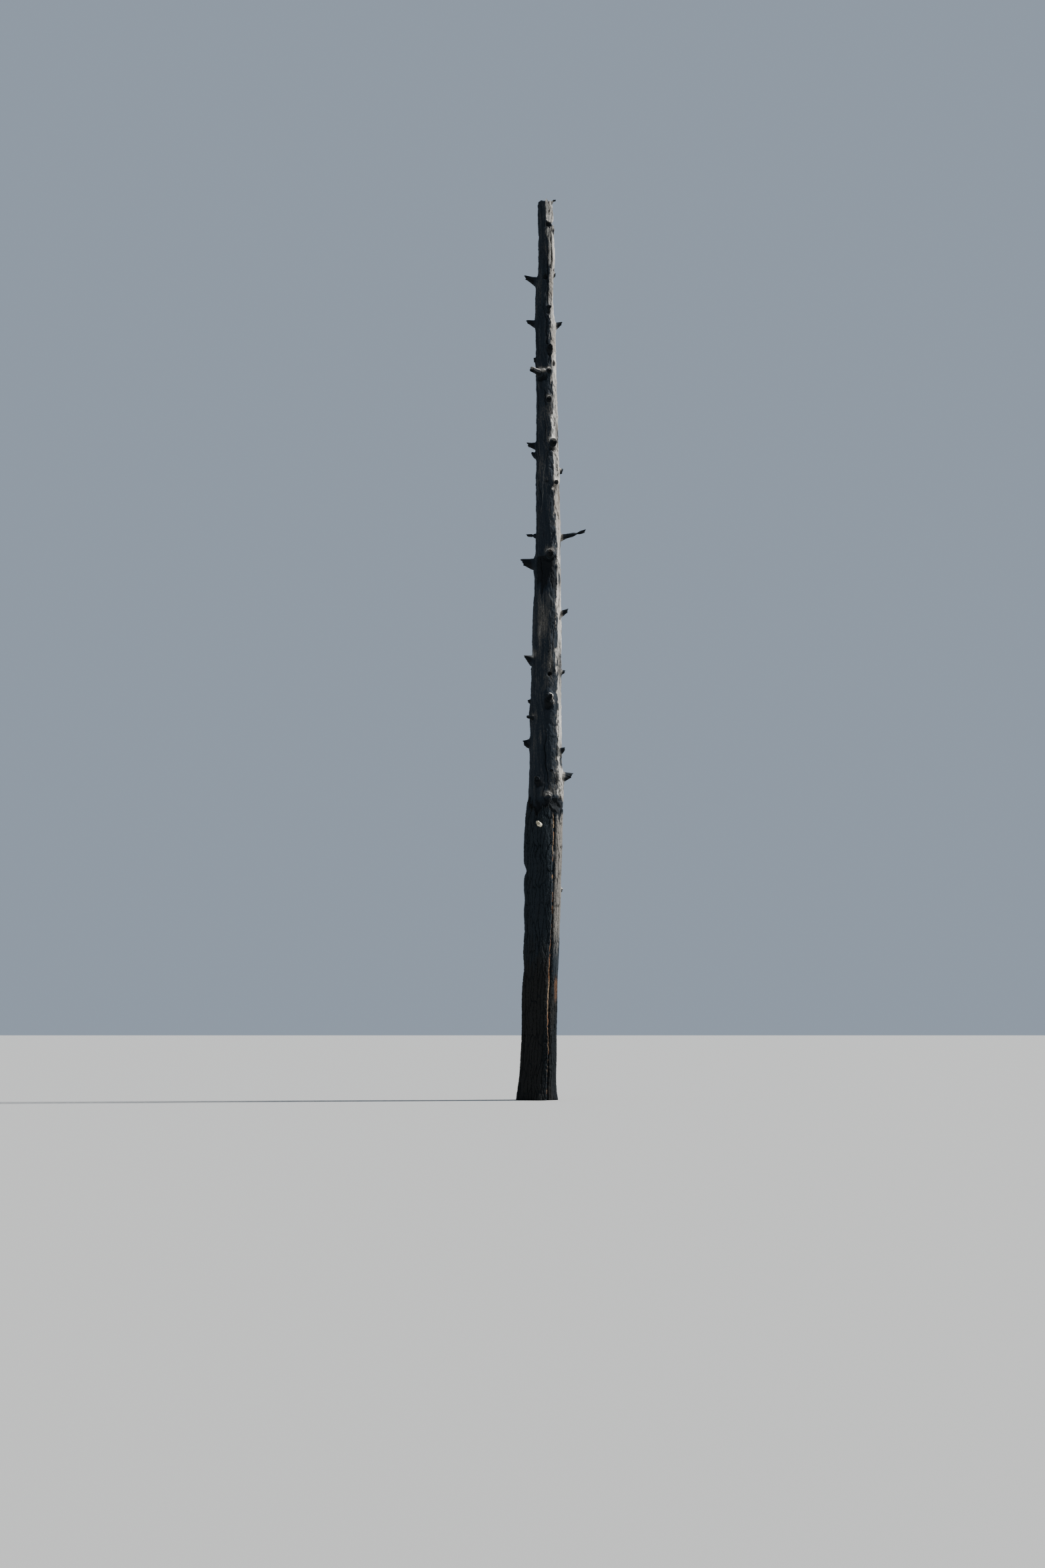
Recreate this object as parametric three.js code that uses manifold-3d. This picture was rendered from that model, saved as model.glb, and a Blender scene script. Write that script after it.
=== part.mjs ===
// A dead standing tree: a bare trunk, broken off at the top, with short broken branch stubs
// and charred bark plates left round its foot.
// Millimetres, +Z up. The origin is on the flat cut at ground level, and the front faces -Y.
// An azimuth is in degrees from the front, growing towards the tree's right side (+X).

import * as THREE from 'three';
import { mergeVertices } from 'three/addons/utils/BufferGeometryUtils.js';
import Module from 'manifold-3d';

const wasm = await Module();
wasm.setup();

// Trunk: height, sideways lean, lean to the back and radius of the bare wood, from the ground up.
const TRUNK_STATIONS = [
  [0, 10, 0, 405],
  [350, 22, 2, 378],
  [1000, 58, 6, 358],
  [2500, 95, 18, 352],
  [4500, 150, 30, 372],
  [6200, 183, 38, 397],
  [7400, 213, 42, 392],
  [9200, 230, 50, 353],
  [11200, 256, 62, 337],
  [13300, 286, 70, 293],
  [14900, 280, 74, 282],
  [16400, 262, 68, 246],
  [18200, 234, 60, 236],
  [19000, 205, 58, 199],
  [20000, 262, 60, 185],
  [21500, 224, 64, 176],
];
const HEIGHT_COLUMN = 0;
const LEAN_X_COLUMN = 1;
const LEAN_Y_COLUMN = 2;
const RADIUS_COLUMN = 3;
const TREE_HEIGHT = 21500;
const TRUNK_SIDES = 32;
const TRUNK_RINGS = 68;

// Flutes: how many round the trunk, depth as a share of the radius, turn per metre and start.
const FLUTES = [
  [2, 0.022, 0.21, 0.9],
  [3, 0.024, -0.34, 2.2],
  [5, 0.014, 0.47, 0.4],
];
const ROOT_LOBES = 5;
const ROOT_LOBE_DEPTH = 26;
const ROOT_LOBE_START = 0.6;
const ROOT_LOBE_HEIGHT = 420;

// Swellings of the wood: height, azimuth, half height, half width in degrees and proudness.
const SWELLINGS = [
  [8980, -90, 300, 20, 42],
  [7080, 90, 460, 16, 34],
  [16950, -40, 260, 22, 14],
  [12720, 10, 120, 34, 16],
];

// The broken top: where the right side has shed a splinter, and the outlines of the break.
const SHED_HEIGHT = 20810;
const SHED_DEPTH = 42;
const SHED_BLEND = 60;
const SHED_HALF_ANGLE = 0.9;
const BREAK_FRONT = [
  [-100, 21430], [49, 21392], [70, 21425], [112, 21446], [188, 21425], [216, 21440],
  [262, 21500], [278, 21440], [292, 21412], [340, 21445], [640, 21445],
];
const BREAK_BACK = [
  [-20, 21700], [15, 21345], [50, 21390], [86, 21190], [120, 21245], [190, 21010], [420, 21080],
];
const BREAK_CLEARANCE = 600;

// The horn: a thin splinter that curves outwards from the right edge of the break.
const HORN_START = new THREE.Vector3(352, 8, 21340);
const HORN_BEND = new THREE.Vector3(392, 2, 21486);
const HORN_TIP = new THREE.Vector3(480, -4, 21472);
const HORN_ROOT_RADIUS = 36;
const HORN_TIP_RADIUS = 18;
const HORN_SIDES = 6;
const HORN_STEPS = 4;

// The long open check below the break, from its upper to its lower end.
const CHECK_LOW = 19740;
const CHECK_HIGH = 20700;
const CHECK_AZIMUTH_LOW = 43;
const CHECK_AZIMUTH_HIGH = 22;
const CHECK_HALF_WIDTH = 9;
const CHECK_DEPTH = 46;
const CHECK_ROWS = 6;
const CHECK_END_SHARE = 0.35;
const CHECK_FLOOR_SHARE = 0.35;

// Clearance between neighbouring pieces, and what a root is sunk before it is cut to the trunk.
const SEAT_GAP = 0.45;
const STUB_GAP = 0.8;
const ROOT_SINK = 60;
const NEAR_STUBS = 500;
const NEAR_BARK = 400;

// Sides and steps of a stub, how uneven its section is, and the slant and hollow of its broken end.
const THICK_STUB = 70;
const STUB_STEP = 130;
const UNEVEN_TURN = 370;
const UNEVEN_OVAL = 0.08;
const UNEVEN_LOBES = 0.05;
const END_SLANT = 0.6;
const END_RAGGED = 0.25;
const END_HOLLOW = 0.2;

// Branch stubs: name, height, azimuth, reach beyond the wood, root radius, tip radius,
// rise in degrees, upward curl, and where wanted the place and depth of a rotted neck.
const STUB_ROWS = [
  ['left_stub_1', 19475, -92, 285, 90, 52, 19, 0],
  ['left_stub_2', 18430, -90, 200, 66, 40, 12, 0],
  ['left_stub_3', 17540, -90, 48, 50, 40, 5, 0],
  ['left_stub_4', 17170, -40, 300, 72, 66, 2, 0],
  ['left_stub_5', 15440, -90, 190, 60, 52, 6, 0],
  ['left_stub_6', 15210, -87, 108, 58, 18, 24, 0],
  ['left_stub_7', 13250, -90, 200, 40, 28, 1, 0, 0.32, 0.45],
  ['left_stub_8', 12590, -95, 278, 106, 88, 4, 0],
  ['left_stub_9', 10250, -70, 205, 96, 22, 19, 0],
  ['left_stub_10', 9280, -90, 72, 44, 22, 0, 0],
  ['left_stub_11', 8870, -55, 165, 52, 34, -3, 0],
  ['left_stub_12', 8290, -92, 136, 82, 50, 1, 0],
  ['right_stub_1', 20845, 84, 8, 30, 8, 6, 0],
  ['right_stub_2', 19640, 88, 30, 42, 30, 0, 0],
  ['right_stub_3', 18380, 86, 155, 62, 34, 18, 0],
  ['right_stub_4', 14850, 105, 75, 58, 50, -3, 0],
  ['right_stub_5', 13210, 90, 575, 56, 40, 9, 60, 0.68, 0.58],
  ['right_stub_6', 11370, 80, 150, 52, 44, 20, 0],
  ['right_stub_7', 9980, 90, 82, 50, 34, 0, 0],
  ['right_stub_8', 8090, 62, 115, 62, 30, 14, 0],
  ['right_stub_9', 7510, 93, 215, 98, 54, 2, 0],
  ['right_stub_10', 4850, 92, 72, 52, 36, -8, 0],
  ['front_stub_1', 18770, 25, 66, 48, 42, 0, 0],
  ['front_stub_2', 17760, 17, 92, 72, 62, 0, 0],
  ['front_stub_3', 17200, 12, 82, 54, 44, 0, 0],
  ['front_stub_4', 16500, 9, 112, 60, 50, 0, 0],
  ['front_stub_5', 15460, 23, 138, 80, 68, -5, 0],
  ['front_stub_6', 14500, 39, 58, 50, 38, 0, 0],
  ['front_stub_7', 12760, 7, 200, 80, 70, -8, 0],
  ['front_stub_8', 9300, 9, 165, 104, 90, -2, 0],
  ['front_stub_9', 7600, 20, 52, 34, 26, 0, 0],
  ['front_stub_10', 7390, -26, 74, 66, 56, 4, 0],
  ['front_stub_11', 6960, 8, 44, 86, 64, 0, 0],
  ['front_stub_12', 6340, -15, 172, 60, 45, 5, 0],
];
const STUBS = STUB_ROWS.map(makeStub);
const FRESH_STUB = 'front_stub_12';

// How the wood swells round a stub's root, and how the stub widens where it meets the wood.
const COLLAR_SHARE = 0.3;
const COLLAR_ABOVE = 1.7;
const COLLAR_BELOW = 3;
const COLLAR_ACROSS = 1.5;
const FLARE_SHARE = 0.3;
const FLARE_BELOW = 1.5;
const FLARE_LENGTH = 0.9;
const NECK_LENGTH = 0.1;

// Stubs on the hidden side follow a seeded rule: they keep behind the trunk's own outline.
const BACK_STUB_COUNT = 11;
const BACK_STUB_LOW = 7700;
const BACK_STUB_HIGH = 20300;
const BACK_STUB_SPREAD = 42;
const BACK_STUB_SPACING = 0.7;
const BACK_STUB_RADII = [40, 84];
const BACK_STUB_REACHES = [45, 110, 300];
const BACK_STUB_RISES = [-6, 22];
const BACK_STUB_SEED = 20;
const RANDOM_FACTOR = 16807;
const RANDOM_LIMIT = 2147483647;
const BACK_STUB_STRAIGHT = 0.2;
const BACK_STUB_TAPER = 0.7;
const OUTLINE_SHARE = 0.94;

// Bark plates, going round: name, azimuth and width in degrees of the seam at the left edge,
// top height and mean thickness. Each plate ends at the next one's seam.
const BARK_ROW_COUNT = 22;
const BARK_PLATES = [
  ['bark_left', -129, 2.2, 6830, 66],
  ['bark_front', -59, 2, 6690, 60],
  ['bark_right', 33.5, 9, 6600, 32],
  ['bark_back_right', 105, 2, 6180, 52],
  ['bark_back_left', 177, 2.4, 6560, 60],
];
const BARK_COLUMN_WIDTH = 13;
const BARK_TOP_JAG = 90;
const BARK_STUB_CLEARANCE = 9;
const BARK_THINNEST = 11;
const BARK_SINK = 25;
const BARK_FOOT_SWELL = 14;
const BARK_FOOT_HEIGHT = 500;
const BARK_EDGE_SHARE = 0.55;
const BARK_EDGE_SLOPE = 4;
const BARK_RIM_SHARE = 0.5;
const BARK_RIM_SLOPE = 12;

// Waves. A lump of the bark is a size, turns round, turns a metre upwards and a start. The others
// are a size, turns along the seam or across the plate, and what its azimuth or number counts for.
const BARK_LUMPS = [
  [0.117, 7, 2.1, 0],
  [0.1, 4, -5.3, 1],
];
const SEAM_WAVES = [
  [1.6, 1.3, 1],
  [0.9, 3.7, 2],
];
const TOP_JAGS = [
  [1, 9.7, 1],
  [0.6, 23, 2],
];

// Chips where the bark has flaked: height, azimuth, half height, half width in degrees, depth.
const BARK_CHIPS = [
  [5290, -92, 110, 22, 52],
  [4620, -88, 190, 24, 26],
  [3880, -94, 230, 26, 34],
  [3060, -86, 160, 24, 30],
  [1350, -90, 420, 30, 20],
  [6100, 20, 300, 9, 20],
  [2250, 8, 260, 14, 22],
  [3900, -30, 240, 12, 20],
  [900, 60, 340, 20, 12],
  [4100, 140, 260, 20, 26],
  [2300, 190, 300, 18, 26],
  [5400, 205, 210, 18, 28],
];

const MATERIALS = {
  wood: new THREE.MeshStandardMaterial({ color: 0x77706a, roughness: 0.9, metalness: 0 }),
  stub: new THREE.MeshStandardMaterial({ color: 0x827a70, roughness: 0.88, metalness: 0 }),
  fresh: new THREE.MeshStandardMaterial({ color: 0xcfc1a4, roughness: 0.8, metalness: 0 }),
  bark: new THREE.MeshStandardMaterial({ color: 0x2b2521, roughness: 0.96, metalness: 0 }),
};

const { degToRad, clamp, lerp, smoothstep } = THREE.MathUtils;

function toAngle(azimuth) {
  return degToRad(azimuth - 90);
}

function angleBetween(a, b) {
  return Math.atan2(Math.sin(a - b), Math.cos(a - b));
}

function bump(distance) {
  return Math.exp(-distance * distance);
}

// A smooth mound or dent at a height and azimuth, as deep as its last number says.
function localBump(angle, height, [middle, azimuth, halfHeight, halfWidth, size]) {
  const across = angleBetween(angle, toAngle(azimuth)) / degToRad(halfWidth);
  return size * bump((height - middle) / halfHeight) * bump(across);
}

function makeStub(row) {
  const [name, height, azimuth, reach, rootRadius, tipRadius, rise, curl, neckAt = 0, neckDepth = 0] = row;
  return { name, height, azimuth, reach, rootRadius, tipRadius, rise, curl, neckAt, neckDepth };
}

function makeRandom(seed) {
  let state = seed;
  return () => {
    state = (state * RANDOM_FACTOR) % RANDOM_LIMIT;
    return state / RANDOM_LIMIT;
  };
}

// A smooth curve through the trunk's stations, with each slope taken from its neighbours.
function alongTrunk(height, column) {
  const last = TRUNK_STATIONS.length - 1;
  const station = (i) => TRUNK_STATIONS[clamp(i, 0, last)];
  let i = 0;
  while (i < last - 1 && height > TRUNK_STATIONS[i + 1][HEIGHT_COLUMN]) i += 1;
  const slope = (k) => {
    const rise = station(k + 1)[column] - station(k - 1)[column];
    return rise / (station(k + 1)[HEIGHT_COLUMN] - station(k - 1)[HEIGHT_COLUMN]);
  };
  const step = station(i + 1)[HEIGHT_COLUMN] - station(i)[HEIGHT_COLUMN];
  const t = clamp((height - station(i)[HEIGHT_COLUMN]) / step, 0, 1);
  const fromStart = (1 + 2 * t) * (1 - t) ** 2 * station(i)[column];
  const fromEnd = t * t * (3 - 2 * t) * station(i + 1)[column];
  const slopes = t * (1 - t) ** 2 * slope(i) - t * t * (1 - t) * slope(i + 1);
  return fromStart + fromEnd + slopes * step;
}

// The swelling that a stub leaves in the wood round its root, longer below it than above.
function collar(angle, height, stub) {
  const reach = height > stub.height ? COLLAR_ABOVE : COLLAR_BELOW;
  const up = (height - stub.height) / (reach * stub.rootRadius);
  const across = angleBetween(angle, toAngle(stub.azimuth)) * alongTrunk(height, RADIUS_COLUMN);
  return COLLAR_SHARE * stub.rootRadius * bump(up) * bump(across / (COLLAR_ACROSS * stub.rootRadius));
}

function trunkRadius(angle, height) {
  const metres = height / 1000;
  let share = 1;
  for (const [count, depth, turn, start] of FLUTES) {
    share += depth * Math.cos(count * angle + turn * metres + start);
  }
  const lobe = Math.cos(ROOT_LOBES * angle + ROOT_LOBE_START) * Math.exp(-height / ROOT_LOBE_HEIGHT);
  const lobes = ROOT_LOBE_DEPTH * lobe;
  const shedHere = smoothstep(height, SHED_HEIGHT, SHED_HEIGHT + SHED_BLEND) * bump(angle / SHED_HALF_ANGLE);
  const shed = SHED_DEPTH * shedHere;
  let radius = alongTrunk(height, RADIUS_COLUMN) * share + lobes - shed;
  for (const stub of STUBS) radius += collar(angle, height, stub);
  for (const swelling of SWELLINGS) radius += localBump(angle, height, swelling);
  return radius;
}

function trunkPoint(angle, height, radius) {
  return new THREE.Vector3(
    alongTrunk(height, LEAN_X_COLUMN) + radius * Math.cos(angle),
    alongTrunk(height, LEAN_Y_COLUMN) + radius * Math.sin(angle),
    height,
  );
}

// Merges a stock geometry's vertices, then moves each one where the given rule says.
function shaped(geometry, place) {
  geometry.deleteAttribute('normal');
  geometry.deleteAttribute('uv');
  const merged = mergeVertices(geometry);
  const position = merged.getAttribute('position');
  const vertex = new THREE.Vector3();
  for (let i = 0; i < position.count; i += 1) {
    vertex.fromBufferAttribute(position, i);
    const moved = place(vertex);
    position.setXYZ(i, moved.x, moved.y, moved.z);
  }
  return merged;
}

function toSolid(geometry) {
  return new wasm.Manifold(new wasm.Mesh({
    numProp: 3,
    vertProperties: new Float32Array(geometry.getAttribute('position').array),
    triVerts: new Uint32Array(geometry.getIndex().array),
  }));
}

function toGeometry(solid) {
  const mesh = solid.getMesh();
  const geometry = new THREE.BufferGeometry();
  geometry.setAttribute('position', new THREE.BufferAttribute(new Float32Array(mesh.vertProperties), 3));
  geometry.setIndex(new THREE.BufferAttribute(new Uint32Array(mesh.triVerts), 1));
  geometry.computeVertexNormals();
  return geometry;
}

// An upright unit cylinder along Z, from -0.5 to 0.5.
function uprightCylinder(sides, rings) {
  return new THREE.CylinderGeometry(1, 1, 1, sides, rings).rotateX(Math.PI / 2);
}

// The trunk's wood, grown on every side where a neighbour is to be cut to it.
function trunkSolid(grown) {
  return toSolid(shaped(uprightCylinder(TRUNK_SIDES, TRUNK_RINGS), (vertex) => {
    const angle = Math.atan2(vertex.y, vertex.x);
    const height = (vertex.z + 0.5) * TREE_HEIGHT;
    const share = Math.hypot(vertex.x, vertex.y);
    const point = trunkPoint(angle, height, share * (trunkRadius(angle, height) + grown));
    if (Math.abs(vertex.z) === 0.5) point.z += Math.sign(vertex.z) * grown;
    return point;
  }));
}

// Everything above one outline of the break, turned to run along X or, for the side view, along Y.
function breakCutter(outline, turn) {
  const top = TREE_HEIGHT + BREAK_CLEARANCE;
  const points = outline.map(([across, up]) => new THREE.Vector2(across, up));
  points.push(new THREE.Vector2(points[points.length - 1].x, top), new THREE.Vector2(points[0].x, top));
  const settings = { depth: 2 * BREAK_CLEARANCE, bevelEnabled: false };
  const geometry = new THREE.ExtrudeGeometry(new THREE.Shape(points), settings);
  geometry.translate(0, 0, -BREAK_CLEARANCE).rotateX(Math.PI / 2).rotateZ(turn);
  return toSolid(shaped(geometry, (vertex) => vertex));
}

function hornSolid() {
  const path = new THREE.QuadraticBezierCurve3(HORN_START, HORN_BEND, HORN_TIP);
  const flat = new THREE.Vector3(0, 1, 0);
  return toSolid(shaped(uprightCylinder(HORN_SIDES, HORN_STEPS), (vertex) => {
    const t = vertex.z + 0.5;
    const along = path.getTangent(t);
    const across = new THREE.Vector3().crossVectors(flat, along);
    const radius = lerp(HORN_ROOT_RADIUS, HORN_TIP_RADIUS, t);
    return path.getPoint(t)
      .addScaledVector(across, radius * vertex.x)
      .addScaledVector(flat, radius * vertex.y);
  }));
}

// A panel wrapped round the trunk: the rule gives angle, height and radius for a place across,
// up and outwards, each from 0 to 1.
function wrappedPanel(columns, rows, rule) {
  return toSolid(shaped(new THREE.BoxGeometry(1, 1, 1, columns, 1, rows), (vertex) => {
    const [angle, height, radius] = rule(vertex.x + 0.5, vertex.z + 0.5, 0.5 - vertex.y);
    return trunkPoint(angle, height, radius);
  }));
}

// The check is widest half-way up, and narrows towards its floor.
function checkCutter() {
  return wrappedPanel(2, CHECK_ROWS, (across, up, out) => {
    const height = lerp(CHECK_LOW, CHECK_HIGH, up);
    const middle = lerp(CHECK_AZIMUTH_LOW, CHECK_AZIMUTH_HIGH, up);
    const width = CHECK_HALF_WIDTH * (CHECK_END_SHARE + Math.sin(Math.PI * up));
    const angle = toAngle(middle + (2 * across - 1) * width * lerp(CHECK_FLOOR_SHARE, 1, out));
    return [angle, height, trunkRadius(angle, height) + lerp(-CHECK_DEPTH, CHECK_DEPTH, out)];
  });
}

function makeTrunk() {
  const below = trunkSolid(0).subtract(breakCutter(BREAK_FRONT, 0));
  return below.subtract(breakCutter(BREAK_BACK, Math.PI / 2)).subtract(checkCutter()).add(hornSolid());
}

// A stub leaves the trunk along its rise, tapers and ends in a slanted, ragged break.
function stubSolid(stub, grown) {
  const angle = toAngle(stub.azimuth);
  const rise = degToRad(stub.rise);
  const outwards = new THREE.Vector3(Math.cos(angle), Math.sin(angle), 0);
  const along = outwards.multiplyScalar(Math.cos(rise)).setZ(Math.sin(rise));
  const side = new THREE.Vector3(-Math.sin(angle), Math.cos(angle), 0);
  const above = new THREE.Vector3().crossVectors(along, side);
  const length = (stub.reach + ROOT_SINK) / Math.cos(rise);
  const sunk = ROOT_SINK / (stub.reach + ROOT_SINK);
  const start = trunkPoint(angle, stub.height, alongTrunk(stub.height, RADIUS_COLUMN) - ROOT_SINK);
  start.z -= ROOT_SINK * Math.tan(rise);
  const turn = stub.height / UNEVEN_TURN;
  const sides = stub.rootRadius > THICK_STUB ? 10 : 8;
  const steps = Math.round(3 + stub.reach / STUB_STEP);
  return toSolid(shaped(uprightCylinder(sides, steps), (vertex) => {
    const t = vertex.z + 0.5;
    const around = Math.atan2(vertex.y, vertex.x);
    const share = Math.hypot(vertex.x, vertex.y);
    const out = clamp((t - sunk) / (1 - sunk), 0, 1);
    const below = 1 + FLARE_BELOW * Math.max(0, -Math.sin(around));
    const near = bump(out * stub.reach / (FLARE_LENGTH * stub.rootRadius));
    const oval = UNEVEN_OVAL * Math.sin(2 * around + turn);
    const uneven = 1 + oval + UNEVEN_LOBES * Math.sin(3 * around + 2 * turn);
    const neck = 1 - stub.neckDepth * bump((out - stub.neckAt) / NECK_LENGTH);
    const body = lerp(stub.rootRadius, stub.tipRadius, out) * uneven * neck;
    const radius = share * (body + FLARE_SHARE * stub.rootRadius * below * near + grown);
    const slant = END_SLANT * Math.sin(around) + END_RAGGED * Math.sin(3 * around + turn);
    const ragged = t === 1 ? stub.tipRadius * (share > 0.5 ? slant : -END_HOLLOW) + grown : 0;
    return start.clone()
      .addScaledVector(along, length * t + ragged)
      .addScaledVector(side, radius * Math.cos(around))
      .addScaledVector(above, radius * Math.sin(around))
      .add(new THREE.Vector3(0, 0, stub.curl * out * out));
  }));
}

// Back stubs, spaced up the trunk and kept short enough to stay inside its outline.
function backStubs() {
  const random = makeRandom(BACK_STUB_SEED);
  const [shortest, shortReach, longReach] = BACK_STUB_REACHES;
  const stubs = [];
  for (let i = 0; i < BACK_STUB_COUNT; i += 1) {
    const share = (i + BACK_STUB_SPACING * random()) / BACK_STUB_COUNT;
    const height = Math.round(lerp(BACK_STUB_HIGH, BACK_STUB_LOW, share));
    const azimuth = 180 + Math.round((2 * random() - 1) * BACK_STUB_SPREAD);
    const wood = alongTrunk(height, RADIUS_COLUMN);
    const sideways = Math.max(BACK_STUB_STRAIGHT, Math.abs(Math.sin(degToRad(azimuth))));
    const rootRadius = Math.round(lerp(...BACK_STUB_RADII, random()));
    const tipRadius = Math.round(BACK_STUB_TAPER * rootRadius);
    const room = (OUTLINE_SHARE * wood - tipRadius) / sideways - wood;
    const reach = Math.round(clamp(room, shortest, lerp(shortReach, longReach, random())));
    const rise = Math.round(lerp(...BACK_STUB_RISES, random()));
    stubs.push(makeStub([`back_stub_${i + 1}`, height, azimuth, reach, rootRadius, tipRadius, rise, 0]));
  }
  return stubs;
}

function barkThickness(angle, height, mean) {
  const metres = height / 1000;
  let lumps = 1;
  for (const [size, turns, climb, start] of BARK_LUMPS) {
    lumps += size * Math.sin(turns * angle + climb * metres + start);
  }
  let thickness = mean * lumps + BARK_FOOT_SWELL * Math.exp(-height / BARK_FOOT_HEIGHT);
  for (const chip of BARK_CHIPS) thickness -= localBump(angle, height, chip);
  return Math.max(thickness, BARK_THINNEST);
}

// A sum of sine waves at a place, with each wave started by a number of its own.
function waves(rows, place, start) {
  let sum = 0;
  for (const [size, turns, starts] of rows) sum += size * Math.sin(turns * place + starts * start);
  return sum;
}

// The azimuth of one edge of a seam, which wanders as it goes up. The side is -1 or 1.
function seamEdge(index, side, height) {
  const [, azimuth, width] = BARK_PLATES[index % BARK_PLATES.length];
  const wander = waves(SEAM_WAVES, height / 1000, azimuth);
  return azimuth + 360 * Math.floor(index / BARK_PLATES.length) + wander + side * width / 2;
}

function barkPlate(index) {
  const [, , , top, mean] = BARK_PLATES[index];
  const columns = Math.round((seamEdge(index + 1, -1, 0) - seamEdge(index, 1, 0)) / BARK_COLUMN_WIDTH);
  return wrappedPanel(columns, BARK_ROW_COUNT, (across, up, out) => {
    const height = up * (top + BARK_TOP_JAG * waves(TOP_JAGS, across, index));
    const angle = toAngle(lerp(seamEdge(index, 1, height), seamEdge(index + 1, -1, height), across));
    const edge = Math.min(1, BARK_EDGE_SHARE + BARK_EDGE_SLOPE * Math.min(across, 1 - across));
    const rim = Math.min(1, BARK_RIM_SHARE + BARK_RIM_SLOPE * (1 - up));
    const thickness = barkThickness(angle, height, mean) * edge * rim;
    return [angle, height, trunkRadius(angle, height) + lerp(-BARK_SINK, thickness, out)];
  });
}

function addPiece(group, name, solid, material) {
  const mesh = new THREE.Mesh(toGeometry(solid), material);
  mesh.name = name;
  group.add(mesh);
}

const tree = new THREE.Group();
tree.name = 'dead_tree';

addPiece(tree, 'trunk', makeTrunk(), MATERIALS.wood);

const seat = trunkSolid(SEAT_GAP);
const placed = [];
for (const stub of [...STUBS, ...backStubs()]) {
  let solid = stubSolid(stub, 0).subtract(seat);
  for (const { other, grown } of placed) {
    if (Math.abs(other.height - stub.height) < NEAR_STUBS) solid = solid.subtract(grown);
  }
  placed.push({ other: stub, grown: stubSolid(stub, STUB_GAP) });
  addPiece(tree, stub.name, solid, stub.name === FRESH_STUB ? MATERIALS.fresh : MATERIALS.stub);
}

for (let index = 0; index < BARK_PLATES.length; index += 1) {
  const [name, , , top] = BARK_PLATES[index];
  let solid = barkPlate(index).subtract(seat);
  for (const stub of STUBS) {
    if (stub.height < top + NEAR_BARK) solid = solid.subtract(stubSolid(stub, BARK_STUB_CLEARANCE));
  }
  addPiece(tree, name, solid, MATERIALS.bark);
}

export default tree;
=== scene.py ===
# The finished surface of a dead standing tree: weathered wood with its checks, knots and broken
# top, splintered branch stubs, and charred bark plates round the foot.
# Metres, +Z up. The origin is on the flat cut at ground level, and the front faces -Y.
# An azimuth is in degrees from the front, growing towards the tree's right side (+X).

import math
from typing import NamedTuple

import bmesh
import bpy
import numpy as np
from bpy.props import FloatProperty, FloatVectorProperty, IntProperty, PointerProperty
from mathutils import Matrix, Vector


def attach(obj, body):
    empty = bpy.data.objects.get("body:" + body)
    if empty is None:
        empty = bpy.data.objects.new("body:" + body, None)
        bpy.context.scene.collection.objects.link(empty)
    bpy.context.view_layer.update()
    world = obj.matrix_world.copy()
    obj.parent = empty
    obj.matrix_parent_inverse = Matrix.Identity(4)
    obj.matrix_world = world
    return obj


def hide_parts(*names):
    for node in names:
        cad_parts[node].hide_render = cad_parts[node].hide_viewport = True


bl_info = {
    "name": "Dead standing tree",
    "version": (1, 0, 0),
    "blender": (4, 5, 0),
    "location": "3D View > Sidebar > Dead tree",
    "description": "Dresses the frame of a dead tree in weathered wood, broken stubs and charred bark",
    "category": "Object",
}

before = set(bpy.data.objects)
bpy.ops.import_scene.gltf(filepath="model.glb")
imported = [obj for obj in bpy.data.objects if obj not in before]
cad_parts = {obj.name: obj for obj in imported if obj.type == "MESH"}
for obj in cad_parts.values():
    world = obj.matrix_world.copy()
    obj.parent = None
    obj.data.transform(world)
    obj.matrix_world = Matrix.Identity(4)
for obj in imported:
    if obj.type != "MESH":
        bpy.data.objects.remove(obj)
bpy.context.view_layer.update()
BODY = "root"
TURN = 2 * math.pi

# Trunk: height, sideways lean, lean to the back and radius of the bare wood, from the ground up.
TRUNK_STATIONS = np.array([
    (0.0, 0.010, 0.000, 0.405),
    (0.35, 0.022, 0.002, 0.378),
    (1.0, 0.058, 0.006, 0.358),
    (2.5, 0.095, 0.018, 0.352),
    (4.5, 0.150, 0.030, 0.372),
    (6.2, 0.183, 0.038, 0.397),
    (7.4, 0.213, 0.042, 0.392),
    (9.2, 0.230, 0.050, 0.353),
    (11.2, 0.256, 0.062, 0.337),
    (13.3, 0.286, 0.070, 0.293),
    (14.9, 0.280, 0.074, 0.282),
    (16.4, 0.262, 0.068, 0.246),
    (18.2, 0.234, 0.060, 0.236),
    (19.0, 0.205, 0.058, 0.199),
    (20.0, 0.262, 0.060, 0.185),
    (21.5, 0.224, 0.064, 0.176),
])
HEIGHTS = TRUNK_STATIONS[:, 0]
LEAN_X, LEAN_Y, RADIUS = 1, 2, 3
TREE_HEIGHT = 21.5

# Flutes: how many round the trunk, depth as a share of the radius, radians a metre and start.
FLUTES = [(2, 0.022, 0.21, 0.9), (3, 0.024, -0.34, 2.2), (5, 0.014, 0.47, 0.4)]
ROOT_LOBES = 5
ROOT_LOBE_DEPTH = 0.026
ROOT_LOBE_START = 0.6
ROOT_LOBE_HEIGHT = 0.42

# Swellings and dents of the wood: height, azimuth, half height, half width in degrees and size.
SWELLINGS = [
    (8.98, -90, 0.3, 20, 0.042),
    (7.08, 90, 0.46, 16, 0.034),
    (16.95, -40, 0.26, 22, 0.014),
    (12.72, 10, 0.12, 34, 0.016),
    (21.45, 84, 0.13, 40, -0.016),
    (20.90, 84, 0.075, 44, -0.054),
    (20.74, 80, 0.05, 42, 0.024),
]

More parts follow.
